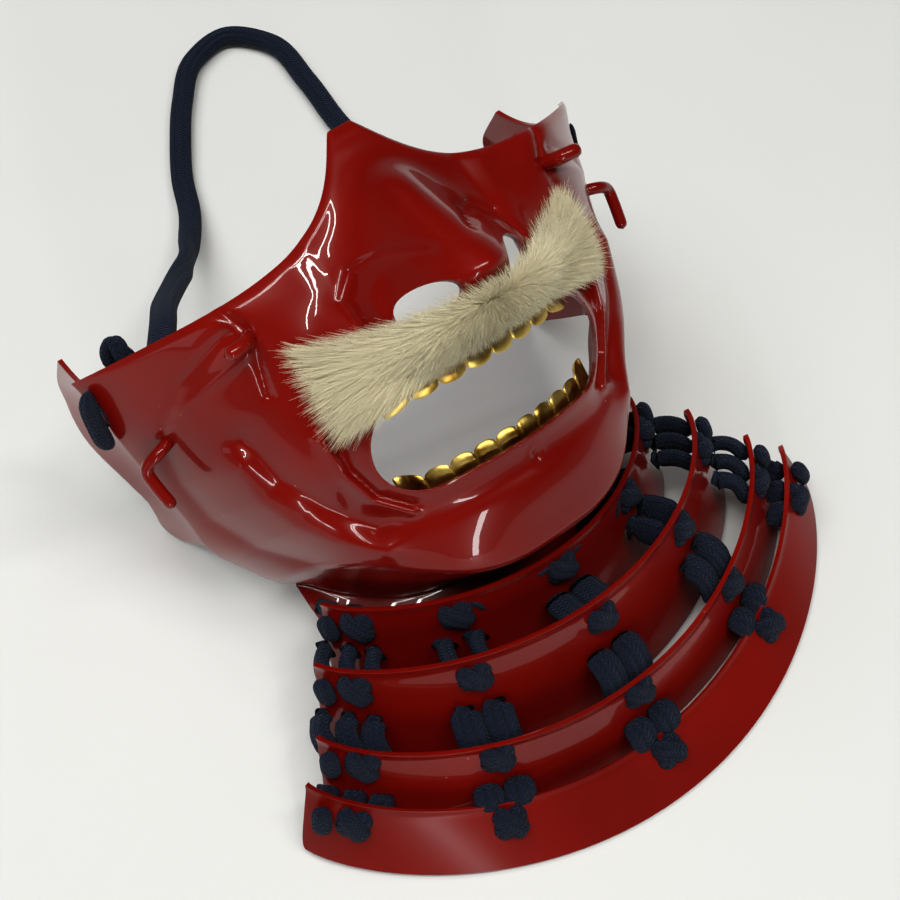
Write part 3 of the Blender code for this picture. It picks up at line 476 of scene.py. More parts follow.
def finish_piece(
    name: str,
    bm: bmesh.types.BMesh,
    finish: bpy.types.Material,
    replaced: Sequence[str] = (),
    outward: bool = True,
) -> bpy.types.Object:
    """Store a mesh as a piece that rides on the part.

    Args:
        name: Name of the piece.
        bm: Its mesh, which is freed.
        finish: Its material.
        replaced: Solids that this piece stands for.
        outward: Whether the faces are turned outward first.

    Returns:
        The new object.
    """
    if outward:
        bmesh.ops.recalc_face_normals(bm, faces=bm.faces)
    mesh = bpy.data.meshes.new(name)
    bm.to_mesh(mesh)
    bm.free()
    mesh.shade_smooth()
    mesh.materials.append(finish)
    piece = bpy.data.objects.new(name, mesh)
    bpy.context.scene.collection.objects.link(piece)
    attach(piece, "root")
    if replaced:
        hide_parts(*replaced)
    log.info("%s: %d faces", name, len(mesh.polygons))
    return piece


def add_modifier(piece: bpy.types.Object, kind: str, **settings: object) -> bpy.types.Modifier:
    """Add a modifier and set its named settings."""
    change = piece.modifiers.new(kind.lower(), kind)
    for key, value in settings.items():
        setattr(change, key, value)
    return change


def apply_modifiers(piece: bpy.types.Object) -> None:
    """Replace a piece's mesh with what its modifiers make of it."""
    bpy.context.view_layer.update()
    graph = bpy.context.evaluated_depsgraph_get()
    made = bpy.data.meshes.new_from_object(piece.evaluated_get(graph))
    piece.modifiers.clear()
    old, piece.data = piece.data, made
    bpy.data.meshes.remove(old)


def build_wall(
    name: str,
    counts: tuple[int, int],
    place: Callable[[Grid, Grid], Grid],
    facing: Sequence[float],
    finish: bpy.types.Material,
    node: str,
    wall: float,
    edge: float = 0.0,
    edge_angle: float = 50.0,
    uv_size: tuple[float, float] = (1.0, 1.0),
) -> bpy.types.Object:
    """Bend a grid into an outer face and give it a wall, with the modifiers still live.

    Args:
        name: Name of the piece.
        counts: Faces across and down.
        place: Gives row-frame points from shares across and down.
        facing: Direction that the outer face looks in, on the whole.
        finish: Its material.
        node: The solid that it stands for.
        wall: Thickness, inward from the outer face.
        edge: Width of the rounding on sharp edges, or 0 for none.
        edge_angle: Angle in degrees from which an edge is sharp.
        uv_size: Width and length of the UV map.

    Returns:
        The new object.
    """
    bm = bmesh.new()
    map_grid(bm, *counts, place, *uv_size)
    bm.normal_update()
    if sum((face.normal for face in bm.faces), Vector()).dot(Vector(facing)) < 0:
        bmesh.ops.reverse_faces(bm, faces=bm.faces)
    piece = finish_piece(name, bm, finish, [node], outward=False)
    add_modifier(piece, "SOLIDIFY", thickness=wall, offset=-1.0)
    if edge > 0:
        add_modifier(piece, "BEVEL", width=edge, segments=2, limit_method="ANGLE",
                     angle_limit=math.radians(edge_angle))
    return piece


def add_cutter(name: str, bm: bmesh.types.BMesh) -> bpy.types.Object:
    """Store a cutting body for a Boolean; it is removed once the cut is applied."""
    bmesh.ops.recalc_face_normals(bm, faces=bm.faces)
    mesh = bpy.data.meshes.new(name)
    bm.to_mesh(mesh)
    bm.free()
    cutter = bpy.data.objects.new(name, mesh)
    bpy.context.scene.collection.objects.link(cutter)
    return cutter


class Wiring:
    """Short way to lay out the nodes of a material or a node group."""

    def __init__(self, tree: bpy.types.NodeTree) -> None:
        """Take the tree that the nodes go into."""
        self.tree = tree

    def add(self, kind: str, inputs: Optional[dict] = None, **settings: object) -> bpy.types.Node:
        """Add a node.

        Args:
            kind: Blender's node type.
            inputs: Sockets to link or values to set, by name or index.
            settings: Properties of the node.

        Returns:
            The new node.
        """
        node = self.tree.nodes.new(kind)
        for key, value in settings.items():
            setattr(node, key, value)
        self.feed(node, inputs or {})
        return node

    def feed(self, node: bpy.types.Node, inputs: dict) -> None:
        """Link or set a node's inputs, by name or index."""
        for key, value in inputs.items():
            if isinstance(value, bpy.types.NodeSocket):
                self.tree.links.new(value, node.inputs[key])
            else:
                node.inputs[key].default_value = value

    def math(self, operation: str, first: object, second: object = 0.0) -> bpy.types.NodeSocket:
        """Add a Math node and return its output."""
        return self.add("ShaderNodeMath", {0: first, 1: second}, operation=operation).outputs[0]

    def ramp(self, value: object, stops: Sequence[tuple[float, Sequence[float]]]) -> bpy.types.NodeSocket:
        """Add a colour ramp with stops of place and colour."""
        node = self.add("ShaderNodeValToRGB", {0: value})
        ends = node.color_ramp.elements
        ends[0].position, ends[0].color = stops[0]
        ends[1].position, ends[1].color = stops[-1]
        for place, colour in stops[1:-1]:
            ends.new(place).color = colour
        return node.outputs[0]


class Effect(Enum):
    """Effects that several finishes share, each one a node group."""

    PATINA = "patina"
    KNIT = "knit"
    GROOM = "groom"


class EffectLibrary:
    """Shader node groups, each built once."""

    def __init__(self) -> None:
        """Build every group."""
        self.groups = {
            Effect.PATINA: self._patina(),
            Effect.KNIT: self._knit(),
            Effect.GROOM: self._groom(),
        }

    @staticmethod
    def _new(
        effect: Effect, inputs: Sequence[tuple[str, str, float]], outputs: Sequence[tuple[str, str]]
    ) -> tuple[Wiring, bpy.types.Node, bpy.types.Node]:
        """Start a group with its sockets.

        Args:
            effect: Which effect it is.
            inputs: Name, socket type and default of each input.
            outputs: Name and socket type of each output.

        Returns:
            The wiring, the group's input node and its output node.
        """
        group = bpy.data.node_groups.new(effect.value, "ShaderNodeTree")
        for name, kind, default in inputs:
            socket = group.interface.new_socket(name, in_out="INPUT", socket_type=kind)
            if kind == "NodeSocketFloat":
                socket.default_value = default
        for name, kind in outputs:
            group.interface.new_socket(name, in_out="OUTPUT", socket_type=kind)
        wiring = Wiring(group)
        return wiring, wiring.add("NodeGroupInput"), wiring.add("NodeGroupOutput")

    def _patina(self) -> bpy.types.NodeTree:
        """Broad tone, fine specks and a lacquer ripple, from Object coordinates."""
        w, start, end = self._new(
            Effect.PATINA,
            (("Ripple", "NodeSocketFloat", 1.0), ("Peel", "NodeSocketFloat", 1.0)),
            (("Tone", "NodeSocketFloat"), ("Specks", "NodeSocketFloat"),
             ("Scratches", "NodeSocketFloat"), ("Height", "NodeSocketFloat")),
        )
        place = w.add("ShaderNodeTexCoord").outputs["Object"]
        broad = w.add("ShaderNodeTexNoise", {"Vector": place, "Scale": 14.0, "Detail": 3.0})
        ripple = w.add("ShaderNodeTexNoise", {"Vector": place, "Scale": 42.0, "Detail": 1.5})
        peel = w.add("ShaderNodeTexNoise", {"Vector": place, "Scale": 420.0, "Detail": 1.0})
        dust = w.add("ShaderNodeTexVoronoi", {"Vector": place, "Scale": 190.0, "Randomness": 1.0})
        speck = w.add("ShaderNodeMapRange", {
            0: dust.outputs["Distance"], 1: 0.035, 2: 0.06, 3: 1.0, 4: 0.0}).outputs[0]
        pick = w.add("ShaderNodeTexNoise", {"Vector": place, "Scale": 60.0}).outputs[0]
        keep = w.math("GREATER_THAN", pick, 0.60)
        long_way = w.add("ShaderNodeMapping", {
            "Vector": place, "Rotation": (0.4, 0.3, 0.7), "Scale": (30.0, 900.0, 200.0)}).outputs[0]
        lines = w.add("ShaderNodeTexNoise", {"Vector": long_way, "Scale": 1.0, "Detail": 2.0}).outputs[0]
        scratch = w.add("ShaderNodeMapRange", {0: lines, 1: 0.70, 2: 0.76, 3: 0.0, 4: 1.0}).outputs[0]
        height = w.math("ADD", w.math("MULTIPLY", ripple.outputs[0], start.outputs["Ripple"]),
                        w.math("MULTIPLY", peel.outputs[0], start.outputs["Peel"]))
        w.feed(end, {
            "Tone": broad.outputs[0], "Specks": w.math("MULTIPLY", speck, keep),
            "Scratches": scratch, "Height": height})
        return w.tree

    def _knit(self) -> bpy.types.NodeTree:
        """Knitted stitches in slanting pairs, from the piece's own UV map in metres."""
        w, start, end = self._new(
            Effect.KNIT,
            (("Stitch", "NodeSocketFloat", 0.0022), ("Slant", "NodeSocketFloat", 0.8)),
            (("Height", "NodeSocketFloat"), ("Yarn", "NodeSocketFloat"), ("Fuzz", "NodeSocketFloat")),
        )
        uv = w.add("ShaderNodeUVMap").outputs[0]
        split = w.add("ShaderNodeSeparateXYZ", {0: uv})
        size = start.outputs["Stitch"]
        across = w.math("DIVIDE", split.outputs[0], size)
        wobble = w.add("ShaderNodeTexNoise", {"Vector": uv, "Scale": 260.0, "Detail": 2.0})
        loose = w.math("MULTIPLY", w.math("SUBTRACT", wobble.outputs[0], 0.5), 0.55)
        shaken = w.math("ADD", across, w.math("MULTIPLY", loose, 0.4))
        local = w.math("SUBTRACT", w.math("FRACT", shaken), 0.5)
        spread = w.math("ABSOLUTE", local)
        slant = w.math("MULTIPLY", spread, w.math("MULTIPLY", start.outputs["Slant"], 2.0))
        along = w.math("DIVIDE", split.outputs[1], w.math("MULTIPLY", size, 0.62))
        phase = w.math("FRACT", w.math("ADD", w.math("ADD", along, slant), loose))
        stitch = w.math("SINE", w.math("MULTIPLY", phase, math.pi))
        groove = w.math("SINE", w.math("MULTIPLY", w.math("FRACT", across), math.pi))
        height = w.math("MULTIPLY", w.math("POWER", stitch, 0.7), w.math("POWER", groove, 0.45))
        fuzz = w.add("ShaderNodeTexNoise", {"Vector": uv, "Scale": 3200.0, "Detail": 2.0}).outputs[0]
        hairy = w.math("ADD", height, w.math("MULTIPLY", fuzz, 0.25))
        w.feed(end, {"Height": hairy, "Yarn": height, "Fuzz": fuzz})
        return w.tree

    def _groom(self) -> bpy.types.NodeTree:
        """Tone of each hair and its tip, from the piece's own UV map."""
        w, _, end = self._new(Effect.GROOM, (), (("Tone", "NodeSocketFloat"), ("Tip", "NodeSocketFloat")))
        split = w.add("ShaderNodeSeparateXYZ", {0: w.add("ShaderNodeUVMap").outputs[0]})
        w.feed(end, {"Tone": split.outputs[0], "Tip": split.outputs[1]})
        return w.tree

    def place(self, wiring: Wiring, effect: Effect, **values: float) -> bpy.types.Node:
        """Put a group into a material with its own values."""
        node = wiring.add("ShaderNodeGroup", node_tree=self.groups[effect])
        for key, value in values.items():
            node.inputs[key.capitalize()].default_value = value
        return node


@dataclass(frozen=True)
class Lacquer:
    """Red lacquer over steel, from mirror gloss to satin."""

    name: str
    colour: tuple = (0.190, 0.0052, 0.0022)
    dark: tuple = (0.140, 0.0036, 0.0014)
    dust: tuple = (0.55, 0.40, 0.36)
    roughness: float = 0.30
    sheen_level: float = 0.12
    gloss: float = 0.62
    gloss_roughness: float = 0.018
    ripple: float = 0.45
    peel: float = 0.02
    relief: float = 0.00035

    def make(self, effects: EffectLibrary) -> bpy.types.Material:
        """Build the material."""
        material, w, shader = new_material(self.name)
        patina = effects.place(w, Effect.PATINA, ripple=self.ripple, peel=self.peel)
        tone = w.ramp(patina.outputs["Tone"], ((0.35, (*self.dark, 1)), (0.62, (*self.colour, 1))))
        dusty = w.add("ShaderNodeMix", {
            0: w.math("MULTIPLY", patina.outputs["Specks"], 0.35), 6: tone, 7: (*self.dust, 1)},
            data_type="RGBA").outputs[2]
        rough = w.math("ADD", w.math("MULTIPLY", patina.outputs["Scratches"], 0.12),
                       w.math("MULTIPLY", patina.outputs["Tone"], 0.10))
        rough = w.math("ADD", rough, self.roughness - 0.05)
        waves = w.add("ShaderNodeBump", {
            "Strength": 1.0, "Distance": self.relief, "Height": patina.outputs["Height"]})
        w.feed(shader, {
            "Base Color": dusty, "Roughness": rough, "Normal": waves.outputs[0],
            "Coat Normal": waves.outputs[0], "Coat Weight": self.gloss,
            "Coat Roughness": self.gloss_roughness, "Coat IOR": 1.45, "IOR": 1.5,
            "Specular IOR Level": self.sheen_level})
        return material


@dataclass(frozen=True)
class KnittedCord:
    """Navy cotton cord, knitted in slanting stitches, with painted shade in the grooves between them."""

    name: str
    stitch: float = 0.0021
    colour: tuple = (0.0022, 0.0056, 0.0210)
    # Painted shade: colour of the grooves between stitches
    shade: tuple = (0.0005, 0.0011, 0.0040)
    lint: tuple = (0.004, 0.009, 0.022)
    relief: float = 0.0009

    def make(self, effects: EffectLibrary) -> bpy.types.Material:
        """Build the material."""
        material, w, shader = new_material(self.name)
        knit = effects.place(w, Effect.KNIT, stitch=self.stitch)
        # Painted shade: the stitch height darkens the navy towards the shade colour in the grooves between
        # stitches
        shaded_yarn = w.ramp(knit.outputs["Yarn"], ((0.05, (*self.shade, 1)), (0.85, (*self.colour, 1))))
        lint = w.ramp(knit.outputs["Fuzz"], ((0.60, (0, 0, 0, 1)), (0.80, (*self.lint, 1))))
        mixed = w.add("ShaderNodeMix", {0: 1.0, 6: shaded_yarn, 7: lint}, data_type="RGBA", blend_type="ADD")
        stitches = w.add("ShaderNodeBump", {
            "Strength": 1.0, "Distance": self.relief, "Height": knit.outputs["Height"]})
        w.feed(shader, {
            "Base Color": mixed.outputs[2], "Normal": stitches.outputs[0], "Roughness": 0.92,
            "Sheen Weight": 0.10, "Sheen Roughness": 0.5, "Sheen Tint": (0.25, 0.36, 0.62, 1.0)})
        return material


@dataclass(frozen=True)
class GoldLeaf:
    """Worn gold over the teeth."""

    name: str
    colour: tuple = (0.60, 0.47, 0.125)
    shade: tuple = (0.30, 0.19, 0.028)
    bright: tuple = (0.72, 0.55, 0.16)
    copper: tuple = (0.66, 0.33, 0.10)
    relief: float = 0.0004

    def make(self, effects: EffectLibrary) -> bpy.types.Material:
        """Build the material."""
        material, w, shader = new_material(self.name)
        patina = effects.place(w, Effect.PATINA, ripple=0.8, peel=0.4)
        place = w.add("ShaderNodeTexCoord").outputs["Object"]
        rub = w.add("ShaderNodeTexNoise", {"Vector": place, "Scale": 160.0, "Detail": 4.0}).outputs[0]
        colour = w.ramp(rub, (
            (0.34, (*self.shade, 1)), (0.52, (*self.colour, 1)), (0.75, (*self.bright, 1))))
        warm = w.add("ShaderNodeMix", {
            0: w.math("MULTIPLY", patina.outputs["Tone"], 0.5), 6: colour, 7: (*self.copper, 1)},
            data_type="RGBA")
        rough = w.math("ADD", w.math("MULTIPLY", rub, 0.25), 0.24)
        dents = w.add("ShaderNodeBump", {
            "Strength": 0.8, "Distance": self.relief, "Height": patina.outputs["Height"]})
        w.feed(shader, {
            "Base Color": warm.outputs[2], "Roughness": rough, "Normal": dents.outputs[0],
            "Metallic": 1.0})
        return material


@dataclass(frozen=True)
class Fur:
    """Cream hair, yellower at the root, with dark speckled tips on the lip."""

    name: str
    root: tuple = (0.42, 0.35, 0.16)
    hair: tuple = (0.74, 0.67, 0.44)
    pale: tuple = (0.84, 0.80, 0.62)
    speck: tuple = (0.12, 0.07, 0.025)

    def make(self, effects: EffectLibrary) -> bpy.types.Material:
        """Build the material."""
        material, w, shader = new_material(self.name)
        groom = effects.place(w, Effect.GROOM)
        length = w.ramp(groom.outputs["Tip"], ((0.0, (*self.root, 1)), (0.45, (*self.hair, 1))))
        dark = w.math("GREATER_THAN", groom.outputs["Tone"], 1.0)
        tip = w.math("MULTIPLY", dark, w.math("POWER", groom.outputs["Tip"], 3.0))
        tinted = w.add("ShaderNodeMix", {0: tip, 6: length, 7: (*self.speck, 1)}, data_type="RGBA").outputs[2]
        share = w.math("MULTIPLY", w.math("FRACT", groom.outputs["Tone"]), 0.45)
        mixed = w.add("ShaderNodeMix", {0: share, 6: tinted, 7: (*self.pale, 1)}, data_type="RGBA")
        w.feed(shader, {"Base Color": mixed.outputs[2], "Roughness": 0.62, "Sheen Weight": 0.2})
        return material


@dataclass(frozen=True)
class Paper:
    """Pale table top."""

    name: str
    colour: tuple = (0.66, 0.67, 0.66)

    def make(self) -> bpy.types.Material:
        """Build the material."""
        material, w, shader = new_material(self.name)
        place = w.add("ShaderNodeTexCoord").outputs["Object"]
        noise = w.add("ShaderNodeTexNoise", {"Vector": place, "Scale": 5.0, "Detail": 5.0}).outputs[0]
        grain = w.add("ShaderNodeTexNoise", {"Vector": place, "Scale": 900.0, "Detail": 2.0}).outputs[0]
        low = tuple(0.96 * value for value in self.colour)
        colour = w.ramp(noise, ((0.3, (*low, 1)), (0.7, (*self.colour, 1))))
        fibres = w.add("ShaderNodeBump", {"Strength": 0.15, "Distance": 0.0002, "Height": grain})
        w.feed(shader, {"Base Color": colour, "Normal": fibres.outputs[0], "Roughness": 0.75})
        return material


def new_material(name: str) -> tuple[bpy.types.Material, Wiring, bpy.types.Node]:
    """Material with its wiring and its Principled shader."""
    material = bpy.data.materials.new(name)
    material.use_nodes = True
    return material, Wiring(material.node_tree), material.node_tree.nodes["Principled BSDF"]


@dataclass
class Finishes:
    """Every material of the part."""

    effects: EffectLibrary = field(default_factory=EffectLibrary)

    def __post_init__(self) -> None:
        """Make the materials."""
        self.lacquer = Lacquer("red_lacquer").make(self.effects)
        satin = Lacquer(
            "red_satin_lacquer", roughness=0.42, sheen_level=0.15, gloss=0.20, gloss_roughness=0.22)
        self.satin = satin.make(self.effects)
        self.cord = KnittedCord("navy_cord").make(self.effects)
        self.gold = GoldLeaf("gold_leaf").make(self.effects)
        self.fur = Fur("cream_fur").make(self.effects)


@dataclass
class FaceShell:
    """The mask itself: nose, cheeks, chin, rolled jaw, mouth, nostrils and holes."""

    form: FaceForm
    finishes: Finishes
    columns: int = 250
    main_rows: int = 152
    ridge_rows: int = 10
    under_rows: int = 12
    crowding: float = 1.12
    ridge_main: float = 0.018
    ridge_under: float = 0.09
    brow_roll: float = 0.0012
    brow_band: float = 0.0026
    nostril_half: tuple = (0.0064, 0.0058)
    nostril_place: tuple = (0.0136, 0.0100)
    nostril_lean: float = 0.18
    mouth_reach: tuple = (0.045, 0.12)
    nostril_reach: tuple = (0.05, 0.13)
    hole_grip: float = 0.0004
    hole_reach: float = 0.0045
    edge_round: float = 0.00045
    edge_angle: float = 60.0

    def surface(self, across: Grid, down: Grid) -> Grid:
        """Outer face from shares across and down."""
        turn = 2 * across - 1
        turn = np.sign(turn) * np.abs(turn) ** self.crowding
        total = self.main_rows + self.ridge_rows + self.under_rows
        row = np.round(down * total)
        top, jaw = self.form.top_level(turn), self.form.jaw_level(turn)

        def main(share: Grid) -> Grid:
            """Face-frame point between the upper edge and the jaw ridge."""
            u = top + (jaw - top) * share
            x, f, _ = self.form.point(turn, u, fine=True)
            gap = np.clip(1 - (top - u) / self.brow_band, 0.0, 1.0)
            return np.stack([x, f - self.brow_roll * gap**2, u], -1)

        def under(share: Grid) -> Grid:
            """Face-frame point between the jaw ridge and the throat edge."""
            ridge = main(np.ones(turn.shape))
            throat = np.stack(self.form.throat(turn), -1)
            return ridge + (throat - ridge) * share[:, None]

        first = main(np.clip(row / self.main_rows, 0, 1) * (1 - self.ridge_main))
        start, corner = main(np.full(turn.shape, 1 - self.ridge_main)), main(np.ones(turn.shape))
        end = under(np.full(turn.shape, self.ridge_under))
        t = np.clip((row - self.main_rows) / self.ridge_rows, 0.0, 1.0)[:, None]
        bend = start * (1 - t) ** 2 + corner * 2 * t * (1 - t) + end * t**2
        last_share = np.clip((row - self.main_rows - self.ridge_rows) / self.under_rows, 0.0, 1.0)
        last = under(self.ridge_under + (1 - self.ridge_under) * last_share)
        points = np.where((row <= self.main_rows)[:, None], first, bend)
        points = np.where((row > self.main_rows + self.ridge_rows)[:, None], last, points)
        return self.form.to_row(points[:, 0], points[:, 1], points[:, 2])

    def prism(self, name: str, outline: Grid, near: float, far: float) -> bpy.types.Object:
        """Cutter along the face's forward axis."""
        bm = bmesh.new()
        rings = []
        for f in (near, far):
            points = self.form.to_row(outline[:, 0], np.full(len(outline), f), outline[:, 1])
            verts = [bm.verts.new(point) for point in points]
            rings.append(bm.faces.new(verts))
        bmesh.ops.bridge_loops(bm, edges=[edge for ring in rings for edge in ring.edges])
        return add_cutter(name, bm)

    def rod(self, name: str, centre: Grid, way: Grid, diameter: float, reach: float) -> bpy.types.Object:
        """Round cutter through the wall."""
        bm = bmesh.new()
        turn = Vector(way).to_track_quat("Z", "Y").to_matrix().to_4x4()
        bmesh.ops.create_cone(
            bm, cap_ends=True, segments=28, radius1=diameter / 2, radius2=diameter / 2,
            depth=2 * reach, matrix=Matrix.Translation(Vector(centre)) @ turn)
        return add_cutter(name, bm)

    def mouth_outline(self) -> Grid:
        """Outline of the mouth opening."""
        form, radius = self.form, self.form.mouth_radius
        angles = np.linspace(-math.pi / 2, math.pi / 2, 25)
        ends = [np.stack([
            side * (form.mouth_half_width - radius + radius * np.cos(angles)),
            form.mouth_middle + side * radius * np.sin(angles)], -1) for side in (1, -1)]
        return np.concatenate(ends)

    def cutters(self) -> list[bpy.types.Object]:
        """Every hole of the mask."""
        made = [self.prism("mouth_cutter", self.mouth_outline(), *self.mouth_reach)]
        angles = np.linspace(0, 2 * math.pi, 40, endpoint=False)
        for side in Side:
            lean = 1 + self.nostril_lean * np.sin(angles)
            outline = np.stack([
                side.value * (self.nostril_place[0] + self.nostril_half[0] * np.cos(angles) * lean),
                self.nostril_place[1] + self.nostril_half[1] * np.sin(angles)], -1)
            made.append(self.prism("nostril_cutter_" + side.tag, outline, *self.nostril_reach))
            for name, wire in (("peg", PEG), ("hook", HOOK)):
                spot, normal = self.form.frame_at(side, *wire.place)
                hole = wire.diameter - self.hole_grip
                made.append(self.rod(f"{name}_hole_{side.tag}", spot, normal, hole, self.hole_reach))
        return made

    def build(self) -> bpy.types.Object:
        """Make the mask."""
        rows = self.main_rows + self.ridge_rows + self.under_rows
        shell = build_wall(
            "mask_shell", (self.columns, rows), self.surface, (0.0, 0.0, 1.0), self.finishes.lacquer,
            "face_shell", self.form.wall, self.edge_round, self.edge_angle)
        cutters = self.cutters()
        for cutter in cutters:
            add_modifier(shell, "BOOLEAN", operation="DIFFERENCE", solver="EXACT", object=cutter)
        apply_modifiers(shell)
        for cutter in cutters:
            bpy.data.objects.remove(cutter)
        return shell


@dataclass(frozen=True)
class BentWire:
    """A bent lacquered wire that stands out of a cheek."""

    name: str
    diameter: float
    place: tuple
    steps: tuple
    stand: float = 0.0030
    bend: float = 1.0

    def route(self, form: FaceForm, side: Side) -> tuple[Grid, Grid]:
        """Centre line through the wall, and the cheek's normal there."""
        spot, normal = form.frame_at(side, *self.place)
        points = [spot - normal * (form.wall + self.diameter), spot + normal * self.stand]
        for across, forward, up in self.steps:
            points.append(points[-1] + form.way(side.value * across, forward, up))
        route = [points[0]]
        for before, corner, after in zip(points, points[1:], points[2:]):
            back, ahead = before - corner, after - corner
            sizes = np.linalg.norm(back), np.linalg.norm(ahead)
            reach = min(self.diameter * self.bend, sizes[0] * 0.45, sizes[1] * 0.45)
            start, end = corner + unit(back) * reach, corner + unit(ahead) * reach
            for t in np.linspace(0, 1, 7):
                route.append(start * (1 - t) ** 2 + corner * 2 * t * (1 - t) + end * t**2)
        route.append(points[-1])
        return smooth_path(route, self.diameter / 5), normal

    def build(self, form: FaceForm, side: Side, finishes: Finishes) -> bpy.types.Object:
        """Make the wire with rounded ends."""
        path, normal = self.route(form, side)
        helper = unit(np.cross(normal, form.way(0.0, 0.35, 1.0)))
        outward = np.tile(helper, (len(path), 1))
        size = self.diameter * round_ends(len(path), 3)
        bm = bmesh.new()
        sweep(bm, path, outward, size, size, sides=20)
        name = f"{self.name}_{side.tag}"
        return finish_piece(name + "_wire", bm, finishes.lacquer, [name])


PEG = BentWire(
    "cheek_peg", 0.0042, (0.0493, 0.0236), ((0.0020, 0.0020, 0.0000), (0.0055, 0.0003, -0.0006)))
HOOK = BentWire(
    "cheek_hook", 0.0036, (0.0748, 0.0074), ((0.0052, -0.0042, -0.0022), (-0.0019, 0.0002, -0.0132)))


@dataclass
class CheekWing:
    """Leaf-shaped plate behind the rear edge of a cheek."""

    form: FaceForm
    finishes: Finishes
    side: Side
    wall: float = 0.0014
    length: float = 0.0695
    top_level: float = 0.0394
    reach: float = 0.0449
    root: float = 0.0096
    valley: float = 0.003
    tuck: float = 0.004
    seat: float = 0.0014
    inner_turn: float = 0.968
    tip_power: float = 2.4
    lap_share: float = 0.12
    edge_round: float = 0.0004

    def inside(self, turn: float, u: Grid) -> tuple[Grid, Grid]:
        """Point behind the cheek, a little clear of its wall."""
        turns = np.full(u.shape, turn)
        ahead, behind = self.form.point(turns - 0.01, u), self.form.point(turns, u)
        way = unit(np.stack([behind[0] - ahead[0], behind[1] - ahead[1]], -1))
        depth = self.form.wall + self.seat
        return behind[0] + way[:, 1] * depth, behind[1] - way[:, 0] * depth

    def surface(self, across: Grid, down: Grid) -> Grid:
        """Outer face of the leaf."""
        up = self.top_level - self.length * down
        root_up = np.minimum(up, self.form.brow_level - self.tuck)
        inner_x, inner_f = self.inside(self.inner_turn, root_up)
        root_x, root_f = self.inside(1.0, root_up)
        edge_x = self.form.half_width * column(WING_EDGE, 2)(down)
        edge_f = self.root - self.reach * column(WING_EDGE, 1)(down)
        share = np.clip((across - self.lap_share) / (1 - self.lap_share), 0.0, 1.0)
        lap = np.clip(1 - across / self.lap_share, 0.0, 1.0)
        hollow = self.valley * np.sin(np.pi * share) * np.sin(np.pi * down)
        x = root_x + (edge_x - root_x) * share - hollow
        f = root_f + (edge_f - root_f) * share
        x, f = x + (inner_x - root_x) * lap, f + (inner_f - root_f) * lap
        u = root_up + (up - root_up) * share**self.tip_power
        return self.form.to_row(self.side.value * x, f, u)

    def build(self) -> bpy.types.Object:
        """Make the leaf."""
        node = "cheek_wing_" + self.side.tag
        wing = build_wall(
            node + "_leaf", (44, 90), self.surface, (self.side.value, 0.0, 0.0), self.finishes.lacquer,
            node, self.wall, self.edge_round)
        apply_modifiers(wing)
        return wing


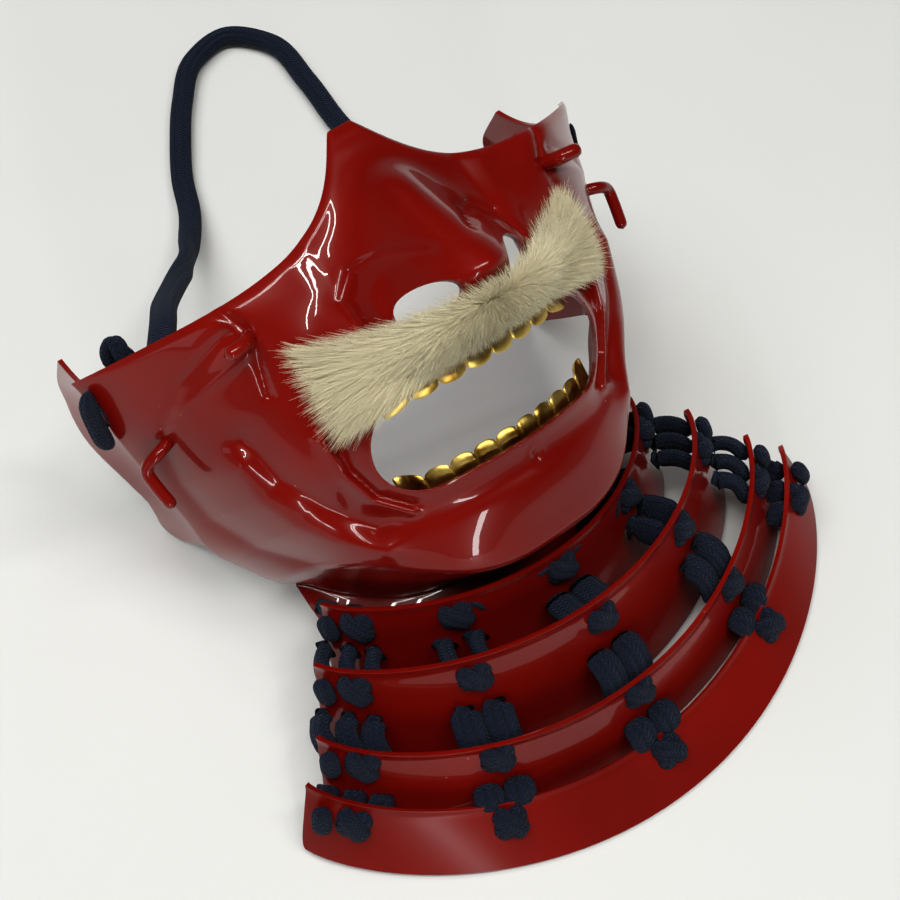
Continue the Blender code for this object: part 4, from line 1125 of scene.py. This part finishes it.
@dataclass
class Collar:
    """The neck plate and the four lames of the throat guard."""

    form: FaceForm
    finishes: Finishes
    half_width: float = 0.0985
    reach: float = 0.1655
    height: float = 0.0500
    bow: float = 1.5
    wall: float = 0.0015
    neck_drop: float = 0.0007
    neck_seat: float = 0.34
    corner: float = 0.0040
    big_corner: float = 0.0085
    lip: float = 0.0007
    lip_width: float = 0.0014
    edge_round: float = 0.00045
    knot_down: float = 0.18
    last_knot_down: float = 0.32

    def edge(self, edge: Sequence[float], around: Grid) -> Grid:
        """Row-frame points of a plate's edge."""
        half_width, end_y, mid_y, end_z, mid_z = edge
        angle = around * math.pi / 2
        bow = np.maximum(np.cos(angle), 0.0) ** self.bow
        return np.stack([
            self.half_width * half_width * np.sin(angle),
            -self.reach * (end_y + (mid_y - end_y) * bow),
            self.height * (end_z + (mid_z - end_z) * bow)], -1) + ROW_SHIFT

    def point(self, plate: int, around: Grid, down: Grid) -> Grid:
        """Row-frame points of a plate's outer face."""
        name, top, bottom = PLATE_EDGES[plate]
        around, down = np.broadcast_arrays(np.asarray(around, float), np.asarray(down, float))
        start, end = self.edge(top, around), self.edge(bottom, around)
        share = down[..., None]
        if name != "neck_plate":
            return start + (end - start) * share
        seat = self.form.to_row(*self.form.throat(around)) - np.array([0.0, 0.0, self.neck_drop])
        start[..., 2] = seat[..., 2]
        inner = start + (seat - start) * (share / self.neck_seat)
        outer = seat + (end - seat) * ((share - self.neck_seat) / (1 - self.neck_seat))
        return np.where(share < self.neck_seat, inner, outer)

    def normal(self, plate: int, around: float, down: float) -> Grid:
        """Outward normal of a plate."""
        step = 0.01
        side = min(max(around, step - 1), 1 - step)
        across = self.point(plate, side + step, down) - self.point(plate, side - step, down)
        below = self.point(plate, side, down + step) - self.point(plate, side, down - step)
        return unit(np.cross(below, across))

    def surface(self, plate: int, across: Grid, down: Grid) -> Grid:
        """Outer face with rounded corners and a rolled upper lip."""
        down = 0.5 - 0.5 * np.cos(np.pi * down)
        tall = np.linalg.norm(self.point(plate, 0.6, 1.0) - self.point(plate, 0.6, 0.0))
        arc = self.half_width * PLATE_EDGES[plate][1][0] * math.pi / 2
        low_corner = self.big_corner if plate == len(PLATE_EDGES) - 1 else self.corner
        cut = np.zeros(down.shape)
        for radius, distance in ((self.corner, down * tall), (low_corner, (1 - down) * tall)):
            inside = np.clip(1 - distance / radius, 0.0, 1.0)
            cut = np.maximum(cut, radius * (1 - np.sqrt(np.maximum(1 - inside**2, 0.0))))
        around = (2 * across - 1) * (1 - cut / arc)
        points = self.point(plate, around, down)
        out = np.stack([np.sin(around * math.pi / 2), -np.cos(around * math.pi / 2), 0 * around + 0.6], -1)
        roll = self.lip * np.exp(-((down * tall / self.lip_width) ** 2)) * (plate > 0)
        return points + unit(out) * roll[:, None]

    def build_plate(self, plate: int) -> bpy.types.Object:
        """Make one plate."""
        name = PLATE_EDGES[plate][0]
        last = plate == len(PLATE_EDGES) - 1
        finish = self.finishes.satin if last else self.finishes.lacquer
        piece = build_wall(
            name + "_plate", (150, 26), lambda across, down: self.surface(plate, across, down),
            (0.0, -1.0, 0.0), finish, name, self.wall, self.edge_round)
        apply_modifiers(piece)
        return piece

    def build(self) -> None:
        """Make every plate."""
        for plate in range(len(PLATE_EDGES)):
            self.build_plate(plate)


@dataclass
class Lacing:
    """Knitted cords that hang one plate from the next: humps, a crossed knot and, at the ends, a stitch."""

    collar: Collar
    finishes: Finishes
    hump_width: float = 0.0092
    hump_pitch: float = 0.0090
    hump_thick: float = 0.0046
    hangs: tuple = (0.80, 0.43, 0.47, 0.54)
    fullness: tuple = (0.5, 1.0, 1.0, 0.8)
    edge_share: float = 0.86
    knot_cord: float = 0.0060
    knot_thick: float = 0.0038
    knot_width: float = 0.0080
    knot_height: float = 0.0066
    stitch_width: float = 0.0058
    stitch_height: float = 0.0074
    stitch_gap: float = 0.0050
    knot_inset: float = 0.0036
    knot_lift: float = 0.0014
    end_sink: float = 0.0013
    root_sink: float = 0.0006
    ring_gap: float = 0.0010

    def knot_level(self, plate: int) -> float:
        """Share down a plate at which its crossed knots sit."""
        last = plate == len(PLATE_EDGES) - 1
        return self.collar.last_knot_down if last else self.collar.knot_down

    def axes(self, plate: int, around: float, down: float) -> tuple[Grid, Grid, Grid, Grid]:
        """Place, outward, sideways and downward directions on a plate."""
        spot = self.collar.point(plate, around, down)
        out = self.collar.normal(plate, around, down)
        across = unit(self.collar.point(plate, around + 0.02, down) - spot)
        return spot, out, across, unit(np.cross(out, across))

    def cord(self, bm: bmesh.types.BMesh, path: Grid, out: Grid, width: float, thick: float) -> None:
        """One short cord with rounded ends."""
        ends = round_ends(len(path), 4)
        sweep(bm, path, np.tile(out, (len(path), 1)), width * ends**0.8, thick * ends, sides=16)

    def knot(self, bm: bmesh.types.BMesh, plate: int, around: float, inset: float) -> None:
        """Two cords crossing over each other, their ends going into the plate."""
        spot, out, across, down = self.axes(plate, around, self.knot_level(plate))
        spot = spot - across * inset
        t = np.linspace(-1, 1, 19)[:, None]
        for turn, lift in ((1, 0.0), (-1, self.knot_lift)):
            reach = across * self.knot_width / 2 + down * turn * self.knot_height / 2
            rise = (self.knot_thick * 0.45 + lift) * (1 - np.abs(t) ** 4) - self.end_sink
            self.cord(bm, spot + reach * t + out * rise, out, self.knot_cord, self.knot_thick)

    def stitch(self, bm: bmesh.types.BMesh, plate: int, around: float, side: float) -> None:
        """Short round stitch beside the knot at the end of a plate."""
        spot, out, across, down = self.axes(plate, around, self.knot_level(plate))
        spot = spot + across * side * self.stitch_gap - down * 0.0006
        t = np.linspace(-1, 1, 15)[:, None]
        rise = self.knot_thick * 0.5 * (1 - np.abs(t) ** 3) + 0.0002
        path = spot + (down + across * side * 0.25) * (self.stitch_height / 2) * t + out * rise
        self.cord(bm, path, out, self.stitch_width, self.knot_thick * 1.15)

    def humps(self, bm: bmesh.types.BMesh, upper: int, around: float, strands: int) -> None:
        """Cords that come out of the upper plate, swell and go down behind the lower one."""
        collar = self.collar
        first, out, across_high, _ = self.axes(upper, around, self.hangs[upper])
        last, away, across_low, _ = self.axes(upper + 1, around, collar.knot_down)
        share = self.edge_share if strands > 2 else 1.0
        width, thick = self.hump_width * share, self.hump_thick * self.fullness[upper]
        for k in range(strands):
            offset = (k - (strands - 1) / 2) * self.hump_pitch * share
            start = first + across_high * offset
            end = last - away * (collar.wall + thick * 0.55) + across_low * offset
            run = end - start
            route = [start - out * self.root_sink + run * 0.03]
            route += [start + out * thick * lift + run * down for down, lift in HUMP_PATH]
            route += [end + run * 0.02, end + run * 0.20]
            self.cord(bm, smooth_path(route, self.ring_gap), unit(out + 0.5 * away), width, thick)

    def build(self) -> None:
        """Make every lacing."""
        for upper in range(len(PLATE_EDGES) - 1):
            for number, around in enumerate(LACE_COLUMNS):
                edge = number in (0, len(LACE_COLUMNS) - 1)
                side = math.copysign(1.0, around)
                bm = bmesh.new()
                self.humps(bm, upper, around * (0.985 if edge else 1.0), 3 if edge and upper > 0 else 2)
                self.knot(bm, upper + 1, around, side * self.knot_inset if edge else 0.0)
                if edge:
                    self.stitch(bm, upper + 1, around, side)
                node = f"lacing_{upper + 1}_{number + 1}"
                finish_piece(node + "_cords", bm, self.finishes.cord, [node])


@dataclass
class Teeth:
    """Gold strip behind a lip, with a row of rounded teeth."""

    form: FaceForm
    finishes: Finishes
    name: str
    count: int
    top: bool
    end_gap: float
    depth: float = 0.0044
    tuck: float = 0.0032
    scallop: float = 0.45
    wall: float = 0.0010
    gap: float = 0.0007
    pillow: float = 0.0009
    tucked: float = 0.36
    edge_round: float = 0.0003

    def seat(self, x: Grid, u: Grid) -> Grid:
        """Forward place just behind the mask's wall."""
        step = 0.0012
        here = self.form.over(x, u, fine=True)
        across = (self.form.over(x + step, u, fine=True) - here) / step
        above = (self.form.over(x, u + step, fine=True) - here) / step
        return here - self.form.wall * np.sqrt(1 + across**2 + above**2) - self.gap

    def surface(self, across: Grid, down: Grid) -> Grid:
        """Outer face of the strip."""
        x = (2 * across - 1) * (self.form.mouth_half_width - self.end_gap)
        phase = (across * self.count) % 1.0
        arch = np.sqrt(np.maximum(1 - (2 * phase - 1) ** 2, 0.0))
        rim = self.form.mouth_rim(x, self.top)
        way = 1 if self.top else -1
        hidden, shown = rim + way * self.tuck, rim - way * self.depth * (1 - self.scallop * (1 - arch))
        share = down if self.top else 1 - down
        u = hidden + (shown - hidden) * share
        seats = [self.seat(np.abs(x) + dx, rim + way * self.tuck * k)
                 for dx in (-0.0015, 0.0, 0.0015) for k in (0.1, 0.5, 1.0)]
        bare = np.clip((share - self.tucked) / (1 - self.tucked), 0.0, 1.0)
        bulge = self.pillow * arch**0.6 * np.sin(np.pi * bare * 0.93) ** 0.7
        return self.form.to_row(x, np.min(seats, axis=0) + bulge, u)

    def build(self) -> bpy.types.Object:
        """Make the strip."""
        strip = build_wall(
            self.name + "_gilt", (self.count * 22, 20), self.surface, (0.0, 0.0, 1.0), self.finishes.gold,
            self.name, self.wall, self.edge_round)
        apply_modifiers(strip)
        return strip


@dataclass
class Moustache:
    """Bar of fur glued over the upper lip, with real hairs."""

    form: FaceForm
    finishes: Finishes
    half_width: float = 0.0400
    centre: float = 0.0036
    end_height: float = 0.0176
    mid_height: float = 0.0080
    level: float = 0.0023
    sag: float = 0.0004
    thick: float = 0.0058
    gap: float = 0.0012
    wall: float = 0.0009
    patches: tuple = ("far_left", "left", "middle", "right", "far_right")
    hairs: int = 42000
    seed: int = 7
    joints: int = 4
    hair_width: float = 0.000085
    taper: float = 0.85
    root_sink: float = 0.0004
    lengths: tuple = (0.0056, 0.0064)
    uneven: tuple = (0.65, 1.15)
    stand: tuple = (0.70, 0.30)
    pull: float = 0.95
    fan: tuple = (0.26, 0.34)
    tuft_pull: float = 0.08
    droop: tuple = (0.45, 0.15, 0.15)
    curl: float = 0.45
    shake: tuple = (0.15, 0.12)

    def skin(self, along: Grid, share: Grid) -> Grid:
        """Point on the bar's front: along from -1 to 1, share from bottom to top."""
        spread = np.abs(along)
        height = self.mid_height + (self.end_height - self.mid_height) * spread**1.6
        u = self.level + self.sag * spread**2 + height * (share - 0.5)
        x = self.centre + along * self.half_width
        swell = self.thick * np.sqrt(np.maximum(1 - (2 * share - 1) ** 2, 0.0))
        swell = swell * np.sqrt(np.maximum(1 - spread**8, 0.0))
        seat = np.max([self.form.over(np.abs(x) + dx, u + du)
                       for dx in (-0.0021, 0.0, 0.0021) for du in (-0.0021, 0.0, 0.0021)], axis=0)
        return self.form.to_row(x, seat + self.gap + swell, u)

    def build_bar(self) -> bpy.types.Object:
        """Make the skin that the hairs grow from."""
        bar = build_wall(
            "moustache_skin", (90, 16), lambda across, down: self.skin(2 * across - 1, 1 - down),
            (0.0, 0.0, 1.0), self.finishes.fur, "moustache", self.wall, uv_size=(0.0, 0.0))
        apply_modifiers(bar)
        return bar

    def build_hairs(self, name: str, low: float, high: float, count: int, seed: int) -> bpy.types.Object:
        """Join many thin tapered hairs into one mesh.

        Args:
            name: Name of the piece.
            low: Where the patch starts along the bar, from -1 to 1.
            high: Where it ends.
            count: How many hairs.
            seed: Seed of the random numbers.

        Returns:
            The piece.
        """
        rng = np.random.default_rng(seed)
        along = rng.uniform(low, high, count)
        share = rng.uniform(0.02, 0.98, count)
        step = 0.01
        root = self.skin(along, share)
        side = unit(self.skin(along + step, share) - root)
        rise = unit(self.skin(along, np.clip(share + step, 0, 1)) - root + 1e-9)
        out = unit(np.cross(side, rise))
        spread = np.abs(along)
        flow = np.sign(along)[:, None] * side
        tuft = np.sin(along * 40 + share * 9 + np.sin(along * 17) * 2)[:, None]
        lean = (share - 0.5)[:, None] * 2
        comb = np.clip(spread * 1.7, 0.12, 1.0)[:, None]
        way = unit(
            out * (self.stand[0] - self.stand[1] * spread[:, None])
            + flow * self.pull * comb
            + rise * ((self.fan[0] + self.fan[1] * spread[:, None]) * lean + self.tuft_pull * tuft)
            + rng.normal(0, self.shake[0], (count, 3))
        )
        length = (self.lengths[0] + self.lengths[1] * spread**1.6) * rng.uniform(*self.uneven, count)
        droop = (
            flow * self.droop[0] * comb + rise * self.droop[1] * lean - out * self.droop[2]
            + rng.normal(0, self.shake[1], (count, 3)))
        t = np.linspace(0.0, 1.0, self.joints)
        path = root[:, None] + length[:, None, None] * (
            way[:, None] * t[None, :, None] + droop[:, None] * (t[None, :, None] ** 2) * self.curl)
        path = path - out[:, None] * self.root_sink
        thin = self.hair_width * (1 - self.taper * t**1.5)
        first = unit(np.cross(way, out + 0.3 * side))
        second = unit(np.cross(way, first))
        angles = np.arange(3) * 2 * np.pi / 3
        turns = np.cos(angles)[None, :, None], np.sin(angles)[None, :, None]
        ring = first[:, None] * turns[0] + second[:, None] * turns[1]
        verts = path[:, :, None, :] + ring[:, None] * thin[None, :, None, None]
        per_hair = self.joints * 3
        faces = []
        for j in range(self.joints - 1):
            for k in range(3):
                n = (k + 1) % 3
                faces.append((j * 3 + k, j * 3 + n, (j + 1) * 3 + n, (j + 1) * 3 + k))
        quads = (np.arange(count)[:, None, None] * per_hair + np.array(faces)[None]).reshape(-1, 4)
        mesh = bpy.data.meshes.new(name)
        mesh.from_pydata(verts.reshape(-1, 3).tolist(), [], quads.tolist())
        weave = mesh.uv_layers.new(name="UVMap")
        speckled = (rng.random(count) < 0.30 * np.exp(-(((along + 0.05) / 0.45) ** 2))).astype(float)
        tone = rng.uniform(0.0, 0.98, count) + speckled
        corner = quads.reshape(-1)
        values = np.stack([tone[corner // per_hair], t[(corner % per_hair) // 3]], -1)
        weave.data.foreach_set("uv", values.astype(np.float32).reshape(-1))
        mesh.shade_smooth()
        mesh.materials.append(self.finishes.fur)
        piece = bpy.data.objects.new(name, mesh)
        bpy.context.scene.collection.objects.link(piece)
        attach(piece, "root")
        log.info("%s: %d hairs", name, count)
        return piece

    def build(self) -> None:
        """Make the bar and its hair, one mesh for each patch."""
        self.build_bar()
        bounds = np.linspace(-1.0, 1.0, len(self.patches) + 1)
        count = self.hairs // len(self.patches)
        for k, name in enumerate(self.patches):
            self.build_hairs("moustache_hair_" + name, bounds[k], bounds[k + 1], count, self.seed + k)


@dataclass(frozen=True)
class StrapLoop:
    """Loop of the strap outside one cheek, and how far its knot inside is pulled away."""

    side: Side
    rise: float
    length: float
    width: float
    knot_shift: tuple


@dataclass
class Strap:
    """Knitted strap from cheek to cheek with a knotted loop in each slot."""

    form: FaceForm
    finishes: Finishes
    width: float = 0.0080
    thick: float = 0.0052
    slot_place: tuple = (0.0830, 0.0218)
    loop_lean: float = 0.95
    twist: float = 1.45
    twist_place: float = 0.245
    twist_length: float = 0.035
    knot_cord: tuple = (0.0042, 0.0036)
    knot_radii: tuple = (0.0042, 0.0026)
    knot_depth: float = 0.0050
    knot_turns: tuple = ((0.3, 1.0), (-0.5, 0.85), (1.3, 0.7))
    stem_run: tuple = (0.0006, -0.0070)
    stem_size: tuple = (0.0078, 0.0030)
    loop_lift: float = 0.0007
    least_rise: float = 0.0014
    loops: tuple = (
        StrapLoop(Side.LEFT, 0.0056, 0.0190, 0.00496, (0.0062, -0.0010, 0.0102)),
        StrapLoop(Side.RIGHT, 0.0010, 0.0114, 0.0036, (0.0, 0.0, 0.0)),
    )

    def build_strap(self) -> bpy.types.Object:
        """Make the strap along its route."""
        path = smooth_path(STRAP_ROUTE, self.width * 0.25) + ROW_SHIFT
        count = len(path)
        outward = np.tile(np.array([0.0, 0.0, 1.0]), (count, 1))
        share = np.linspace(0.0, 1.0, count)
        twist = bump(share, self.twist, self.twist_place, self.twist_length)
        along = unit(np.gradient(path, axis=0))
        across = unit(np.cross(along, outward))
        outward = outward * np.cos(twist)[:, None] + across * np.sin(twist)[:, None]
        bm = bmesh.new()
        full = np.full(count, 1.0)
        full[0] = full[-1] = 0.02
        full[1] = full[-2] = 0.85
        sweep(bm, path, outward, self.width * full, self.thick * full, sides=16, squareness=2.4)
        strap = finish_piece("strap_cord", bm, self.finishes.cord, ["strap"])
        ends = [self.build_end(loop) for loop in self.loops]
        return strap

    def build_end(self, loop: StrapLoop) -> bpy.types.Object:
        """Make the outside loop and the knot inside a cheek."""
        spot, normal = self.form.frame_at(loop.side, *self.slot_place)
        other = self.form.way(loop.side.value * self.loop_lean, 0.0, -1.0)
        other = unit(other - normal * float(other @ normal))
        along = unit(np.cross(other, normal))
        bm = bmesh.new()
        t = np.linspace(-1, 1, 25)
        pad = spot + other * t[:, None] * loop.length * 0.5 + normal * (
            self.loop_lift + (loop.rise * 0.5) * (1 - np.abs(t) ** 4))[:, None]
        ends = round_ends(len(t), 6)
        outward = np.tile(normal, (len(t), 1))
        sweep(bm, pad, outward, loop.width * ends, max(loop.rise, self.least_rise) * ends, sides=18)
        stem = np.stack([spot + normal * d for d in np.linspace(*self.stem_run, 9)])
        ring = np.full(9, 1.0)
        sweep(bm, stem, np.tile(along, (9, 1)), self.stem_size[0] * ring, self.stem_size[1] * ring, sides=14)
        inner = spot - normal * (self.form.wall + self.knot_depth) + self.form.way(*loop.knot_shift)
        for k, (tilt, size) in enumerate(self.knot_turns):
            angles = np.linspace(0, 1.6 * math.pi, 27) + k
            ring_path = inner + (
                other * (np.cos(angles) * self.knot_radii[0] * size)[:, None]
                + along * (np.sin(angles) * self.knot_radii[1] * size)[:, None]
                - normal * (0.0012 * k + 0.0008 * np.cos(angles * 2 + tilt))[:, None])
            ends = round_ends(27, 3)
            width, thick = self.knot_cord
            sweep(bm, ring_path, np.tile(normal, (27, 1)), width * ends, thick * ends, sides=12)
        node = "strap_end_" + loop.side.tag
        return finish_piece(node + "_knot", bm, self.finishes.cord, [node])


@dataclass(frozen=True)
class Lamp:
    """One area light: where it stands, what it faces, and whether the lacquer mirrors it."""

    name: str
    place: tuple
    size: tuple
    power: float
    mirrored: bool
    tint: tuple = (1.0, 1.0, 1.0)
    aim: tuple = (0.0, 0.0, 0.05)


LAMPS = (
    Lamp("tube_near", (-0.10, -0.46, 1.55), (1.5, 0.034), 8.0, True, (1.0, 0.98, 0.94)),
    Lamp("tube_far", (-0.10, -0.30, 1.55), (1.5, 0.040), 8.0, True, (1.0, 0.98, 0.94)),
    Lamp("fill_over", (-0.45, 0.42, 1.40), (1.3, 1.0), 12.0, False),
    Lamp("fill_front", (0.20, -0.85, 1.25), (1.0, 0.8), 1.4, False),
    Lamp("window", (-1.25, -0.15, 0.32), (0.30, 0.5), 0.4, True, (0.96, 0.98, 1.0)),
    Lamp("door", (-0.62, -1.25, 0.36), (0.10, 0.70), 4.0, True, (0.98, 0.99, 1.0)),
)


@dataclass
class Studio:
    """Camera at the photograph's angle, pale table and soft light."""

    azimuth: float = math.radians(-38.4)
    elevation: float = math.radians(57.0)
    roll: float = math.radians(0.5)
    target: tuple = (0.0007, -0.0513, 0.0400)
    distance: float = 0.4755
    lens: float = 64.0
    room_strength: float = 0.54

    def build_camera(self) -> None:
        """Place the camera."""
        a, e = self.azimuth, self.elevation
        back = Vector((math.sin(a) * math.cos(e), -math.cos(a) * math.cos(e), math.sin(e)))
        right = Vector((math.cos(a), math.sin(a), 0.0))
        up = back.cross(right)
        turned_right = right * math.cos(self.roll) + up * math.sin(self.roll)
        turned_up = up * math.cos(self.roll) - right * math.sin(self.roll)
        data = bpy.data.cameras.new("camera")
        data.lens, data.sensor_width = self.lens, 36.0
        data.clip_start = 0.01
        camera = bpy.data.objects.new("camera", data)
        place = Vector(self.target) + Vector(ROW_SHIFT) + back * self.distance
        turn = Matrix((turned_right, turned_up, back)).transposed().to_4x4()
        camera.matrix_world = Matrix.Translation(place) @ turn
        bpy.context.scene.collection.objects.link(camera)
        bpy.context.scene.camera = camera

    def add_lamp(self, lamp: Lamp) -> None:
        """Add an area light that looks at the part."""
        data = bpy.data.lights.new(lamp.name, "AREA")
        data.shape, data.size, data.size_y = "RECTANGLE", lamp.size[0], lamp.size[1]
        data.energy, data.color = lamp.power, lamp.tint
        item = bpy.data.objects.new(lamp.name, data)
        item.location = lamp.place
        item.rotation_mode = "QUATERNION"
        item.rotation_quaternion = (Vector(lamp.place) - Vector(lamp.aim)).to_track_quat("Z", "Y")
        item.visible_glossy = lamp.mirrored
        bpy.context.scene.collection.objects.link(item)

    def build_lights(self) -> None:
        """Add the lamps and a dim room."""
        for lamp in LAMPS:
            self.add_lamp(lamp)
        world = bpy.data.worlds.new("room")
        bpy.context.scene.world = world
        world.use_nodes = True
        w = Wiring(world.node_tree)
        back = world.node_tree.nodes["Background"]
        split = w.add("ShaderNodeSeparateXYZ", {0: w.add("ShaderNodeTexCoord").outputs["Generated"]})
        room = w.ramp(w.add("ShaderNodeMapRange", {0: split.outputs[2], 1: -0.1, 2: 1.0}).outputs[0], (
            (0.0, (0.42, 0.42, 0.41, 1)), (0.22, (0.34, 0.34, 0.33, 1)),
            (0.50, (0.10, 0.10, 0.10, 1)), (1.0, (0.06, 0.06, 0.06, 1))))
        w.feed(back, {"Color": room, "Strength": self.room_strength})

    def build_table(self) -> None:
        """Lay the pale table."""
        bm = bmesh.new()
        bmesh.ops.create_grid(bm, x_segments=2, y_segments=2, size=2.5)
        mesh = bpy.data.meshes.new("table")
        bm.to_mesh(mesh)
        bm.free()
        mesh.materials.append(Paper("table_paper").make())
        table = bpy.data.objects.new("table", mesh)
        bpy.context.scene.collection.objects.link(table)


def main() -> None:
    """Build the face guard and its studio."""
    logging.basicConfig(level=logging.INFO, format="%(name)s %(message)s")
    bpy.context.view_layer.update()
    studio = Studio()
    studio.build_camera()
    form, finishes = FaceForm(), Finishes()
    Strap(form, finishes).build_strap()
    FaceShell(form, finishes).build()
    for side in Side:
        CheekWing(form, finishes, side).build()
        PEG.build(form, side, finishes)
        HOOK.build(form, side, finishes)
    collar = Collar(form, finishes)
    collar.build()
    Lacing(collar, finishes).build()
    Teeth(form, finishes, "upper_teeth", 8, True, 0.0070).build()
    Teeth(form, finishes, "lower_teeth", 10, False, 0.0048).build()
    Moustache(form, finishes).build()
    studio.build_lights()
    studio.build_table()
    bpy.context.scene.view_settings.view_transform = "Standard"
    bpy.context.scene.view_settings.look = "Medium High Contrast"
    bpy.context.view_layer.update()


if __name__ == "__main__":
    main()
